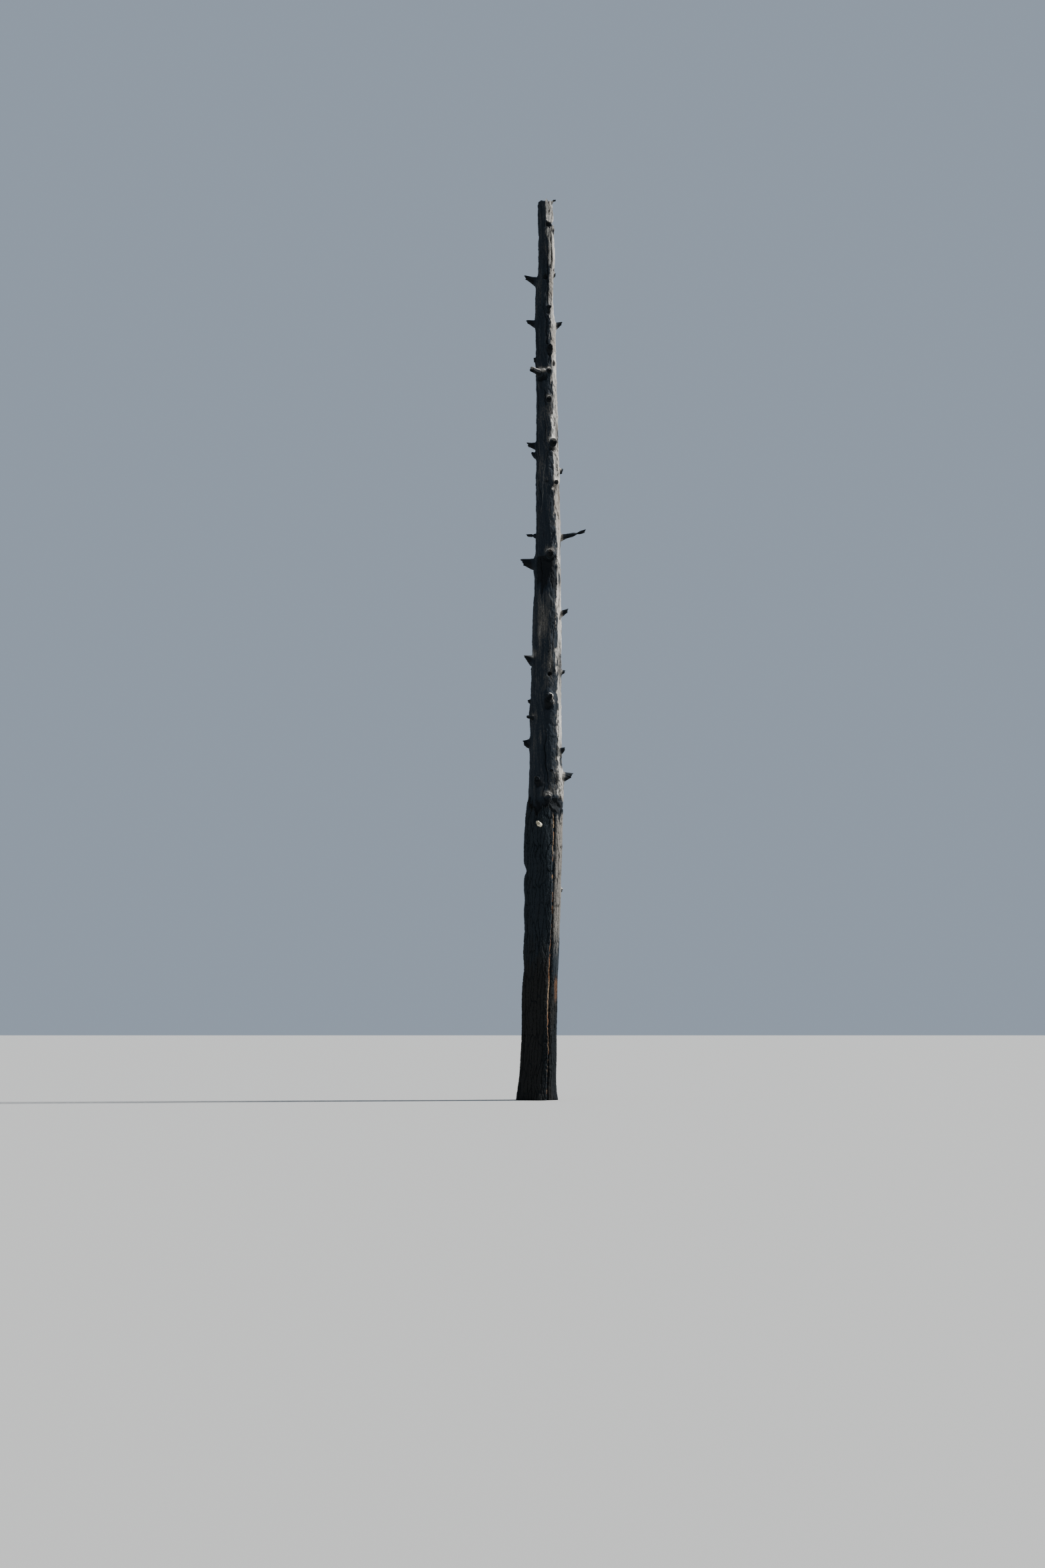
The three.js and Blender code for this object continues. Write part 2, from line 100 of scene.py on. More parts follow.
# The broken top: the outlines of the break from the front and from the side, the height from
# which the trunk is squeezed to end there, and its splinters: a seed, cells a metre and a length.
BREAK_FRONT = np.array([
    (-0.1, 21.43), (0.049, 21.392), (0.07, 21.425), (0.112, 21.446), (0.188, 21.425), (0.216, 21.44),
    (0.262, 21.5), (0.278, 21.44), (0.292, 21.412), (0.34, 21.445), (0.64, 21.445),
])
BREAK_BACK = np.array([
    (-0.02, 21.7), (0.015, 21.345), (0.05, 21.39), (0.086, 21.19), (0.12, 21.245),
    (0.19, 21.01), (0.42, 21.08),
])
SQUEEZE_FROM = 20.95
SPLINTERS = [(11, 60, 0.009), (12, 24, 0.012)]

# The splinter that curves out of the break: its path, radii, unevenness and length, how burnt its
# root is and how much more its tip, between which shares of its length that changes, its noise as
# a seed, cells round and a metre, and its columns, rows and rings of faces.
HORN_PATH = np.array([(0.352, 0.008, 21.34), (0.392, 0.002, 21.486), (0.48, -0.004, 21.472)])
HORN_RADII = (0.034, 0.019)
HORN_UNEVEN = 0.3
HORN_LENGTH = 0.2
HORN_CHAR = (0.15, 0.75)
HORN_BURNT = (0.5, 0.8)
HORN_NOISE = (31, 7, 40)
HORN_MESH = (24, 34, 3)

# Checks that show from the front: lowest and highest point, azimuth at each, half width,
# depth, and how far the lip on the front side stands out.
CHECKS = [
    (19.74, 20.78, 34, 40, 0.019, 0.075, 0.034),
    (21.07, 21.64, 31, 34, 0.014, 0.055, 0.022),
    (15.05, 15.60, 62, 66, 0.012, 0.034, 0.006),
    (14.62, 14.94, 60, 54, 0.015, 0.036, 0.006),
    (8.28, 8.80, 50, 54, 0.012, 0.032, 0.005),
    (10.90, 11.22, 33, 35, 0.008, 0.016, 0.014),
    (10.28, 10.58, 9, 11, 0.008, 0.016, 0.014),
    (18.40, 18.62, 14, 19, 0.007, 0.012, 0.012),
    (16.05, 16.40, 62, 50, 0.012, 0.026, 0.006),
    (6.90, 7.50, 66, 30, 0.014, 0.040, 0.012),
    (7.06, 7.66, 82, 50, 0.011, 0.034, 0.010),
    (7.60, 8.02, 66, 58, 0.010, 0.028, 0.006),
]

# A pale scratch down the front: lowest and highest point, azimuth at each and half width.
SCRATCH = (13.80, 15.20, -35, -10, 0.004)

# Ridges that run slantwise down the sunny side: the same, and how far they stand out.
RIDGES = [
    (15.02, 15.34, 68, 20, 0.020, 0.018),
    (15.48, 16.12, 14, 56, 0.020, 0.030),
    (12.42, 12.78, 78, 24, 0.017, 0.032),
    (12.90, 13.38, 15, 34, 0.015, 0.028),
    (17.13, 17.30, 8, -34, 0.024, 0.030),
    (16.62, 16.98, 74, 36, 0.018, 0.014),
    (13.55, 13.95, 70, 44, 0.018, 0.014),
    (6.78, 7.52, 76, 42, 0.022, 0.036),
    (7.05, 7.62, 62, 40, 0.014, 0.024),
    (6.98, 7.10, 26, 8, 0.016, 0.026),
    (9.02, 9.46, 26, 21, 0.017, 0.030),
]

# Holes and rotted knots: height, azimuth, half height, half width and depth.
HOLES = [
    (17.40, 50, 0.055, 0.028, 0.055),
    (9.88, 14, 0.032, 0.044, 0.080),
    (9.13, 8, 0.110, 0.085, 0.026),
    (6.83, 40, 0.110, 0.110, 0.040),
    (20.84, 22, 0.058, 0.072, 0.050),
    (19.53, -4, 0.052, 0.058, 0.055),
    (18.64, 24, 0.060, 0.040, 0.030),
    (17.62, 18, 0.060, 0.045, 0.030),
    (12.62, 6, 0.070, 0.090, 0.040),
    (7.28, -22, 0.070, 0.075, 0.035),
    (19.72, 74, 0.045, 0.030, 0.035),
    (15.30, 24, 0.070, 0.060, 0.040),
    (17.04, -30, 0.080, 0.110, 0.040),
    (14.50, -8, 0.030, 0.050, 0.016),
    (14.83, 10, 0.030, 0.030, 0.014),
]

# Small knots: height, azimuth, radius and how far they stand out.
KNOTS = [
    (19.56, -9, 0.045, 0.030),
    (9.97, 34, 0.026, 0.022),
    (9.19, 22, 0.045, 0.032),
    (8.54, 3, 0.028, 0.020),
    (16.48, 90, 0.024, 0.024),
    (14.49, -90, 0.030, 0.018),
    (12.43, 88, 0.024, 0.016),
    (17.05, -88, 0.026, 0.018),
    (20.27, -90, 0.022, 0.014),
    (16.98, 84, 0.026, 0.016),
    (11.05, -160, 0.040, 0.026),
    (14.00, 150, 0.036, 0.024),
    (18.60, -150, 0.030, 0.022),
    (8.70, 128, 0.042, 0.028),
]

# The burnt hollow across the front: its top edge, lowest point, left and right edge and depth,
# how soft its edges are, and the waves of its foot: a size, radians a degree and a start.
BURN_TOP = 12.70
BURN_FOOT = 11.95
BURN_AZIMUTHS = (-62, 44)
BURN_DEPTH = 0.022
BURN_TOP_EDGE = 0.015
BURN_SIDE_EDGE = 8
BURN_FOOT_EDGE = (-0.12, 0.2)
BURN_FOOT_WAVES = [(0.16, 0.11, 1), (0.09, 0.31, 0)]

# How dark bare wood and the sooted front are, where silver is 0 and burnt wood 1; the sooted front is
# partly soot, partly painted shade.
BARE_SHARE = 0.1
SOOT_AND_SHADE_SHARE = 0.66

# Where the dark front, partly soot and partly painted shade, ends on the sunny side: height and azimuth,
# along the edge of the sunlit side. It ends at one azimuth on the other side.
SOOT_AND_SHADE_BORDER = np.array([
    (0, 36), (6.6, 38), (6.8, 44), (9.2, 46), (12.6, 42), (14, 34), (15.2, 24), (15.7, 20), (16.2, 28),
    (17.2, 36), (18.6, 33), (19.4, 34), (19.8, 22), (20.3, 8), (21.5, 4),
])
SOOT_AND_SHADE_BLEND = 8
SOOT_AND_SHADE_LEFT = -148
SOOT_AND_SHADE_LEFT_BLEND = 20

# Patches of lighter or darker wood and bark, and rusty patches of bark: height, azimuth, half height, half
# width in degrees, and how much darker or rustier they are. Some wood patches are painted light and shade:
# darker ones dim parts of the sunlit side and paint shadows under front_stub_8 and in the hollow at the
# bark's top, and lighter ones paint highlights beside front_stub_8 and on the ledge at 17.2 m and lighten
# the shaded seam between the front and right bark plates. The bark patch at the right foot is painted
# shade.
WOOD_TONE_AND_LIGHT_PATCHES = [
    (21.20, 26, 0.30, 24, -0.45),
    (20.84, 22, 0.07, 26, 1.00),
    (20.69, 62, 0.06, 24, 0.50),
    (19.16, 54, 0.42, 30, 0.20),
    (18.00, 60, 0.30, 26, 0.10),
    (17.22, -14, 0.05, 16, -0.55),
    (17.02, -32, 0.10, 22, 0.30),
    (16.50, 66, 0.50, 26, 0.16),
    (16.20, 14, 0.50, 22, -0.13),
    (15.66, 26, 0.12, 9, -0.30),
    (15.70, 70, 0.30, 26, 0.36),
    (14.90, 46, 0.22, 10, 0.30),
    (12.60, 46, 0.10, 18, -0.45),
    (12.30, -10, 0.40, 60, 0.10),
    (12.25, 72, 0.32, 24, 0.22),
    (11.15, -22, 0.85, 20, -0.15),
    (10.10, 20, 0.50, 14, -0.14),
    (10.05, 70, 0.40, 28, 0.44),
    (9.30, 68, 0.34, 24, 0.16),
    (9.16, 8, 0.12, 14, 0.40),
    (9.21, 22, 0.06, 7, -0.70),
    (8.05, 74, 0.30, 22, 0.40),
    (6.82, 42, 0.17, 44, 0.90),
    (5.60, 35, 1.20, 8, -0.95),
]
BARK_TONE_AND_SHADE_PATCHES = [
    (6.62, -76, 0.11, 12, -0.50),
    (6.30, 24, 0.40, 7, -0.42),
    (4.85, 90, 0.16, 18, -0.20),
    (1.00, 150, 0.90, 80, 0.35),
    (1.00, 90, 1.50, 60, 1.70),
]
RUSTY_PATCHES = [
    (2.56, 62, 0.42, 18, 0.85),
    (5.13, 31, 0.05, 4, 0.8),
    (3.30, 86, 0.16, 10, 0.6),
]

# Wood behind the bark is black: up to which height, and from which there is none of it.
WOOD_BARE_FROM = 6.6
WOOD_BARE_WHOLLY = 6.9

# How the grain leans to one side, in radians a metre, with a stronger twist half-way up.
GRAIN_TWIST = 0.12
TWIST_HEIGHT = 15.5
TWIST_REACH = 1.8
TWIST_SIZE = 0.7

# How the fibres part round a stub: how far across and up and at most, in radii of its root, and
# how far they move aside.
PARTED_ACROSS = 2.0
PARTED_UP = 2.6
PARTED_LIMIT = 7
PARTED_SHARE = 0.75

# Waves of the checks and ridges: a size, radians from end to end, and what the low end's height
# counts for. Then how strong a strip is without them, and the power that fades a seeded check.
STRIP_WANDER = [(0.03, 9, 5), (0.025, 31, 3)]
STRIP_WIDTHS = [(0.3, 17, 2)]
STRIP_FADES = [(0.2, 25, 1)]
STRIP_FULL = 0.8
CHECK_WANDER = [(0.07, 7, 1), (0.03, 23, 2)]
CHECK_ENDS = 0.6

# The lip beside a check, in half widths: where it stands and how wide it is.
LIP_PLACE = 1.8
LIP_WIDTH = 0.7

# Drying checks all round, which are seeded: their lowest and highest start and highest end, length,
# half width, and depth as a share of the deepest. The power makes most of them short.
CHECK_SEED = 7
CHECK_STARTS = (6.3, 20.4)
CHECK_TOP = 21.3
CHECK_LENGTHS = (0.3, 1.5)
CHECK_POWER = 1.5
CHECK_HALF_WIDTHS = (0.006, 0.013)
CHECK_DEPTHS = (0.35, 1)

# Small knots all round, which are seeded: height, azimuth, radius, and how far they stand out as
# a share of it. A knot's heart is hollow: its depth and width as shares of the knot's. Then where a
# knot is cut off, in radii.
KNOT_SEED = 17
KNOT_LEAST = (6.9, -180, 0.012, 0.3)
KNOT_MOST = (20.6, 180, 0.028, 0.8)
KNOT_HEART = 0.5
KNOT_HEART_WIDTH = 0.45
KNOT_LIMIT = 4

# The edge of a hole: how ragged it is, and the height, distance and width of its rim in half
# widths of the hole.
HOLE_RAGGED = 0.6
HOLE_RIM = 0.08
HOLE_RIM_PLACE = 1.5
HOLE_RIM_WIDTH = 0.4

# A hollow this deep is painted black, as painted shade.
BLACK_DEPTH = 0.02

# How much darker blotches and the burnt hollow are, the values of noise that blotches lie between,
# and how ragged the edges of blotches, of the hollow and of the bare wood are.
BLOTCH_SHARE = 0.34
BURN_CHAR = 0.45
BLOTCH_NOISE = (0.2, 0.9)
BLOTCH_RAGGED = 0.025
BURN_RAGGED = 0.4
BARE_RAGGED = 0.012

# The painted highlight on the wood above a stub with a painted highlight: its width, height and half
# height in radii of the stub's root, how pale it is as a share of the stub, and the radius of the wood
# that its width is taken at.
CROWN_WIDTH = 1.3
CROWN_PLACE = 0.8
CROWN_HEIGHT = 1.2
CROWN_SHARE = 0.8
MEAN_RADIUS = 0.3

# Lengths of the trunk: name, lowest and highest point, and columns and rows of faces. The topmost
# is closed by rings of faces.
TRUNK_LENGTHS = [
    ("trunk_foot", 0.0, 6.05, 120, 150),
    ("trunk_low", 6.05, 9.4, 240, 310),
    ("trunk_middle", 9.4, 12.74, 240, 310),
    ("trunk_high", 12.74, 17.1, 240, 380),
    ("trunk_top", 17.1, TREE_HEIGHT, 240, 390),
]
TOP_RINGS = 14

# How much darker the heart of the trunk is, between which shares of its radius that ends, and the
# angle from which an edge is sharp.
HEART_CHAR = 0.3
HEART_EDGE = (0.9, 1)
SHARP_ANGLE = math.radians(52)

# How far the fibres stand out when the numbers of their relief are taken as they are.
GRAIN_DEPTH = 0.005

# The most checks or small knots that a user may ask for.
MOST_COUNTED = 200


class Stub(NamedTuple):
    """A broken branch: where it leaves the trunk, its reach and radii, and its rise in degrees."""

    name: str
    height: float
    azimuth: float
    reach: float
    root: float
    tip: float
    rise: float
    curl: float = 0
    neck_at: float = 0
    neck_depth: float = 0


STUBS = [Stub(*row) for row in (
    ("left_stub_1", 19.475, -92, 0.285, 0.090, 0.052, 19),
    ("left_stub_2", 18.430, -90, 0.200, 0.066, 0.040, 12),
    ("left_stub_3", 17.540, -90, 0.048, 0.050, 0.040, 5),
    ("left_stub_4", 17.170, -40, 0.300, 0.072, 0.066, 2),
    ("left_stub_5", 15.440, -90, 0.190, 0.060, 0.052, 6),
    ("left_stub_6", 15.210, -87, 0.108, 0.058, 0.018, 24),
    ("left_stub_7", 13.250, -90, 0.200, 0.040, 0.028, 1, 0, 0.32, 0.45),
    ("left_stub_8", 12.590, -95, 0.278, 0.106, 0.088, 4),
    ("left_stub_9", 10.250, -70, 0.205, 0.096, 0.022, 19),
    ("left_stub_10", 9.280, -90, 0.072, 0.044, 0.022, 0),
    ("left_stub_11", 8.870, -55, 0.165, 0.052, 0.034, -3),
    ("left_stub_12", 8.290, -92, 0.136, 0.082, 0.050, 1),
    ("right_stub_1", 20.845, 84, 0.008, 0.030, 0.008, 6),
    ("right_stub_2", 19.640, 88, 0.030, 0.042, 0.030, 0),
    ("right_stub_3", 18.380, 86, 0.155, 0.062, 0.034, 18),
    ("right_stub_4", 14.850, 105, 0.075, 0.058, 0.050, -3),
    ("right_stub_5", 13.210, 90, 0.575, 0.056, 0.040, 9, 0.06, 0.68, 0.58),
    ("right_stub_6", 11.370, 80, 0.150, 0.052, 0.044, 20),
    ("right_stub_7", 9.980, 90, 0.082, 0.050, 0.034, 0),
    ("right_stub_8", 8.090, 62, 0.115, 0.062, 0.030, 14),
    ("right_stub_9", 7.510, 93, 0.215, 0.098, 0.054, 2),
    ("right_stub_10", 4.850, 92, 0.072, 0.052, 0.036, -8),
    ("front_stub_1", 18.770, 25, 0.066, 0.048, 0.042, 0),
    ("front_stub_2", 17.760, 17, 0.092, 0.072, 0.062, 0),
    ("front_stub_3", 17.200, 12, 0.082, 0.054, 0.044, 0),
    ("front_stub_4", 16.500, 9, 0.112, 0.060, 0.050, 0),
    ("front_stub_5", 15.460, 23, 0.138, 0.080, 0.068, -5),
    ("front_stub_6", 14.500, 39, 0.058, 0.050, 0.038, 0),
    ("front_stub_7", 12.760, 7, 0.200, 0.080, 0.070, -8),
    ("front_stub_8", 9.300, 9, 0.165, 0.104, 0.090, -2),
    ("front_stub_9", 7.600, 20, 0.052, 0.034, 0.026, 0),
    ("front_stub_10", 7.390, -26, 0.074, 0.066, 0.056, 4),
    ("front_stub_11", 6.960, 8, 0.044, 0.086, 0.064, 0),
    ("front_stub_12", 6.340, -15, 0.172, 0.060, 0.045, 5),
)]
FRESH_STUB = "front_stub_12"

# Stubs with an oval section: how oval, and the turn of the long side in degrees. Stubs with a painted
# highlight on their top, where the light falls: how much paler.
OVAL_STUBS = {"front_stub_12": (0.26, 150), "front_stub_8": (0.2, -90), "front_stub_5": (0.1, 0)}
PAINTED_LIGHT_STUBS = {
    "left_stub_4": 0.75,
    "front_stub_3": 0.55,
    "front_stub_4": 0.5,
    "front_stub_5": 0.6,
    "front_stub_7": 0.4,
    "front_stub_8": 0.85,
    "front_stub_11": 0.4,
    "left_stub_9": 0.62,
    "left_stub_11": 0.35,
    "front_stub_6": 0.45,
    "front_stub_10": 0.4,
    "right_stub_10": 0.7,
}
# Stubs whose painted highlight is turned from the top, in degrees towards the tree's right side, where the
# light comes from. Their end and the wood above them stay dark. A painted highlight lies between two
# sines, and its rim, on a dark end, between two shares of the radius.
PAINTED_LIGHT_TURNS = {"front_stub_8": 75, "front_stub_10": -35}
PAINTED_LIGHT_SINES = (-0.2, 0.7)
PAINTED_LIGHT_RIM = (0.55, 0.9)

# The wood that has grown up round a stub's root, in radii of the root: how far it stands out, its
# reach above, below and across, and where it is cut off. The collar is wide and the foot steep.
COLLAR = (0.3, 1.7, 3.0, 1.5, 8)
FOOT = (0.45, 1.15, 1.8, 1.2, 5)

# How a stub widens where it meets the wood, in radii of its root, how long its neck is as a share
# of its reach, how deep its root is sunk in metres, and how uneven it is as shares of its radius.
FLARE_SHARE = 0.16
FLARE_BELOW = 3
FLARE_LENGTH = 1.5
NECK_LENGTH = 0.1
ROOT_SINK = 0.06
UNEVEN_TURN = 0.37
UNEVEN_OVAL = 0.08
UNEVEN_LOBES = 0.05
STUB_FIBRES = 0.05
STUB_LUMPS = 0.07
STUB_GRIT = 0.03

# Noise of a stub, in order its fibres, lumps, shards and grit: a step from the stub's own seed,
# cells round and cells a metre.
STUB_NOISE = [(0, 26, 7), (1, 7, 14), (2, 13, 30), (4, 19, 44)]

# Splits down a stub: a step from its seed, how many, half width in radians, depth as a share of its
# radius, twist, between which shares of its length they open, and how black they are painted, as painted
# shade.
SPLIT_STEP = 3
SPLIT_COUNT = 4
SPLIT_WIDTHS = (0.10, 0.2)
SPLIT_DEPTHS = (0.05, 0.14)
SPLIT_TWIST = 0.5
SPLIT_OPENS = (0.1, 0.6)
SPLIT_BLACK = 3

# The splintered end of a stub, as shares of the radius at its tip. Short stubs are blunter, and a
# spike stands up no further from a wide end than from a narrow one. The rim of a paler stub is worn.
END_FACE = 0.999
END_FROM = 0.7
END_SLANT = 0.5
END_LOBES = 0.2
END_SLANT_SHARES = (0.15, 0.85)
END_SPIKE = 0.6
END_SPIKE_WIDTH = 0.4
END_SPIKE_TIP = 0.04
END_PEAKS = (0.2, 0.8)
END_SHARDS = 0.3
END_HEART = 0.3
END_HEART_BLACK = 0.7
END_HEART_EDGE = (0.8, 1)
BLUNT_SHARE = 0.4
BLUNT_REACHES = (0.06, 0.22)
WORN_RIM = 0.5
WORN_SHARES = (0.7, 1)

# How dark a stub is on the sunny side and on the sooted, shaded one: at its root, and how much more at its
# end, partly char and partly painted shade. The change starts clear of the root, in its radii, and takes a
# share of the reach up to a longest one. The underside gets painted shade, darker by its sines and up to a
# share of the reach.
ROOT_CHAR_AND_SHADE = (0.3, SOOT_AND_SHADE_SHARE)
END_CHAR_AND_SHADE = (0.5, 0.25)
END_DARKENING_CLEAR = 0.4
END_DARKENING_SHARE = 0.4
END_DARKENING_LONGEST = 0.08
UNDERSIDE_SHADE = 0.35
UNDERSIDE_SHADE_SINES = (0.1, -0.7)
UNDERSIDE_SHADE_SHARE = 0.4

# Meshes of the stubs: the length of a face, least rows, rings of an end, columns of a thin and of
# a thick stub, and the radius from which a stub is thick.
STUB_CELL = 0.007
STUB_LEAST_ROWS = 14
STUB_RINGS = 7
STUB_COLUMNS = (44, 56)
THICK_ROOT = 0.07

# Stubs on the hidden side follow a seeded rule: the more they point to one side, the shorter they
# are, so that they keep inside the trunk's own outline.
BACK_STUB_COUNT = 11
BACK_STUB_LOW = 7.7
BACK_STUB_HIGH = 20.3
BACK_STUB_SPREAD = 42
BACK_STUB_SEED = 20
BACK_STUB_STRAIGHT = 0.2
BACK_STUB_TAPER = 0.7
BACK_STUB_SCATTER = 0.7
BACK_STUB_ROOTS = (0.040, 0.084)
BACK_STUB_SHORTEST = 0.045
BACK_STUB_REACHES = (0.11, 0.3)
BACK_STUB_RISES = (-6, 22)
OUTLINE_SHARE = 0.94
RANDOM_FACTOR = 16807
RANDOM_LIMIT = 2147483647

# Bark plates, going round: name, azimuth and width in degrees of the seam at the left edge,
# top height and mean thickness. Each plate ends at the next one's seam.
BARK_PLATES = [
    ("bark_left", -129, 2.2, 6.83, 0.066),
    ("bark_front", -59, 2, 6.69, 0.060),
    ("bark_right", 33.5, 9, 6.60, 0.032),
    ("bark_back_right", 105, 2, 6.18, 0.052),
    ("bark_back_left", 177, 2.4, 6.56, 0.060),
]

# How much of the left and of the right edge of each plate is freshly broken, and by height, how wide a
# broken edge is as a share of the plate, and how far it reaches into its seam in degrees. The orange-brown
# broken edges are kept mostly to walls that face the light, partly as painted highlight, and walls turned
# away stay dark as painted shade.
BROKEN_EDGES = [(0.0, 0.05), (0.05, 1.0), (0.1, 0.3), (0.35, 0.3), (0.25, 0.1)]
BROKEN_BY_HEIGHT = np.array([
    (0.0, 0.5), (1.0, 0.7), (1.8, 1.1), (2.8, 1.4), (3.6, 0.8), (4.7, 0.7), (5.05, 0.6), (5.13, 1.4),
    (5.22, 0.5), (6.0, 0.9), (6.5, 0.8),
])
BROKEN_WIDTH = 0.08
BROKEN_LIP = 3.0

# The plates: how jagged the top is, the thinnest they are before and after their relief, how deep
# their back is sunk, how they swell at the ground, the size of a face, and the radius that scales
# are measured at.
BARK_TOP_JAG = 0.09
BARK_THINNEST = 0.011
BARK_SKIN = 0.006
BARK_SINK = 0.025
BARK_FOOT_SWELL = 0.014
BARK_FOOT_HEIGHT = 0.5
BARK_CELL = (0.0085, 0.014)
BARK_RADIUS = 0.43

# Waves: a lump of the bark is a size, how many round, radians a metre upwards and a start. The
# others are a size, radians a metre up the seam or once across the plate, and what the plate's
# azimuth or number counts for.
BARK_LUMPS = [(0.117, 7, 2.1, 0), (0.1, 4, -5.3, 1)]
SEAM_WAVES = [(1.6, 1.3, 1), (0.9, 3.7, 2)]
TOP_JAGS = [(1, 9.7, 1), (0.6, 23, 2)]

# Noise of a plate, in order its warp, fine relief, nibbled edges and crumbs: a first seed, cells
# round and cells a metre. The nibbled edges are read at an angle for the left, right and inside.
BARK_NOISE = [(51, 40, 5), (61, 110, 22), (71, 3, 16), (81, 200, 60)]
NIBBLE_LEFT, NIBBLE_RIGHT, NIBBLE_INSIDE = 0, 2, 1

# Fine jags of the top edge: a size, how many plates a turn of the noise covers, and the height that
# it is read at.
FINE_JAG = (0.5, 3, 3.0)
CRUMB_JAG = (0.3, 2, 9.0)

# The edges of a plate: how far they wander in degrees, how thick a whole and a broken one are as
# a share of the plate, how fast they thicken, and the same for the top edge.
SEAM_NIBBLE = 1.6
EDGE_THICKNESS = (0.72, 0.25)
EDGE_SLOPES = (3, 8)
EDGE_LEAST_TORN = 0.8
TOP_THICKNESS = 0.5
TOP_SLOPE = 12

# Scales of the bark: how far noise shifts them, small ones as shares of large ones, how wide the
# gaps between them are, how much they differ in height, the fine relief on them in metres, how far
# their middles keep from their cells' edges, and how much a large scale's tone counts. Then the
# first seeds of the large and of the small ones.
SCALE_SLIP = 0.035
SCALE_SLIP_UP = 3
SMALL_WIDTH = 0.42
SMALL_HEIGHT = 0.26
FISSURE_GAPS = (0.01, 0.13)
CRACK_GAPS = (0.02, 0.2)
CRACK_SHARE = 0.26
CRACK_DARK = 0.4
SCALE_STEP = 0.013
SCALE_MIDDLE = 0.4
SMALL_STEP = 0.006
FINE_RELIEF = 0.004
CRUMB_RELIEF = 0.0025
WHOLE_RELIEF_FROM = 0.05
SCALE_TABLE = 61
SCALE_MARGIN = 0.15
SCALE_TONE = 0.7
SCALE_SEED = 91
SMALL_SEED = 101

# The broken faces at a seam: how ragged they are, where they start, and how broken looks fresh.
BROKEN_RAGGED = 0.45
BROKEN_FINE = 0.3
BROKEN_FROM = 0.3
BROKEN_WALLS = (0.1, 0.4)
FRESH_SHARES = (0.3, 0.95)

# How burnt the bark is: bare of soot, what soot and the front's painted shade add, at its top edge, and
# towards the ground. Then the rows of faces across the walls at its edges.
BARK_CHAR = 0.30
BARK_SOOT_AND_SHADE_CHAR = 0.62
BARK_TOP_CHAR = 0.5
BARK_TOP_BURNT = (0.985, 1.0)
BARK_FOOT_CHAR = 0.7
BARK_FOOT_BURNT = (4.2, 2.2)
WALL_ROWS = 4

# Chips where the bark has flaked: height, azimuth, half height, half width in degrees, depth.
BARK_CHIPS = [
    (5.29, -92, 0.11, 22, 0.052),
    (4.62, -88, 0.19, 24, 0.026),
    (3.88, -94, 0.23, 26, 0.034),
    (3.06, -86, 0.16, 24, 0.030),
    (1.35, -90, 0.42, 30, 0.020),
    (6.10, 20, 0.30, 9, 0.020),
    (2.25, 8, 0.26, 14, 0.022),
    (3.90, -30, 0.24, 12, 0.020),
    (0.90, 60, 0.34, 20, 0.012),
    (4.10, 140, 0.26, 20, 0.026),
    (2.30, 190, 0.30, 18, 0.026),
    (5.40, 205, 0.21, 18, 0.028),
]

# The photograph's viewing angle: from eye height, 51 metres in front, looking up at the trunk.
CAMERA_PLACE = (-0.322, -50.6, 1.6)
CAMERA_PITCH = 6.444
LENS = 50
SENSOR = 36
FLOOR_HALF_WIDTH = 600
FLOOR_ROUGHNESS = 0.95


def to_angle(azimuth):
    """The angle from +X, in radians, of an azimuth."""
    return np.radians(azimuth - 90.0)


def direction(azimuth, elevation):
    """The unit vector that points outwards at an azimuth and upwards at an elevation."""
    angle, rise = to_angle(azimuth), math.radians(elevation)
    return np.array((math.cos(angle) * math.cos(rise), math.sin(angle) * math.cos(rise), math.sin(rise)))


def angle_between(a, b):
    return np.arctan2(np.sin(a - b), np.cos(a - b))


def around_axis(radius, angle, height):
    return np.stack([radius * np.cos(angle), radius * np.sin(angle), height])


def bump(distance):
    return np.exp(-distance * distance)


def smooth(value, low, high):
    """Rises smoothly from 0 at the low value to 1 at the high one."""
    share = np.clip((value - low) / (high - low), 0, 1)
    return share * share * (3 - 2 * share)


def lerp(low, high, share):
    return low + (high - low) * share


class Ripple:
    """Smooth seeded noise from -1 to 1 that closes on itself once round."""

    def __init__(self, seed, around, per_metre, length=TREE_HEIGHT):
        rows = math.ceil(length * per_metre) + 3
        self.values = np.random.default_rng(seed).uniform(-1, 1, (rows, around))
        self.around = around
        self.per_metre = per_metre

    def __call__(self, angle, height):
        across = angle / TURN * self.around
        up = np.clip(height * self.per_metre, 0, len(self.values) - 2)
        column = np.floor(across).astype(int)
        row = np.floor(up).astype(int)
        s = smooth(across - column, 0, 1)
        t = smooth(up - row, 0, 1)
        left = column % self.around
        right = (column + 1) % self.around
        low = lerp(self.values[row, left], self.values[row, right], s)
        high = lerp(self.values[row + 1, left], self.values[row + 1, right], s)
        return lerp(low, high, t)


def park_random(seed):
    """The seeded rule that also placed the hidden stubs of the frame."""
    state = seed
    while True:
        state = state * RANDOM_FACTOR % RANDOM_LIMIT
        yield state / RANDOM_LIMIT


def along_trunk(height, column):
    """A smooth curve through the trunk's stations, with each slope taken from its neighbours."""
    values = TRUNK_STATIONS[:, column]
    last = len(values) - 1
    i = np.clip(np.searchsorted(HEIGHTS, height) - 1, 0, last - 1)
    before = np.clip(np.arange(last + 1) - 1, 0, last)
    after = np.clip(np.arange(last + 1) + 1, 0, last)
    slopes = (values[after] - values[before]) / (HEIGHTS[after] - HEIGHTS[before])
    step = HEIGHTS[i + 1] - HEIGHTS[i]
    t = np.clip((height - HEIGHTS[i]) / step, 0, 1)
    ends = (1 + 2 * t) * (1 - t) ** 2 * values[i] + t * t * (3 - 2 * t) * values[i + 1]
    return ends + (t * (1 - t) ** 2 * slopes[i] - t * t * (1 - t) * slopes[i + 1]) * step


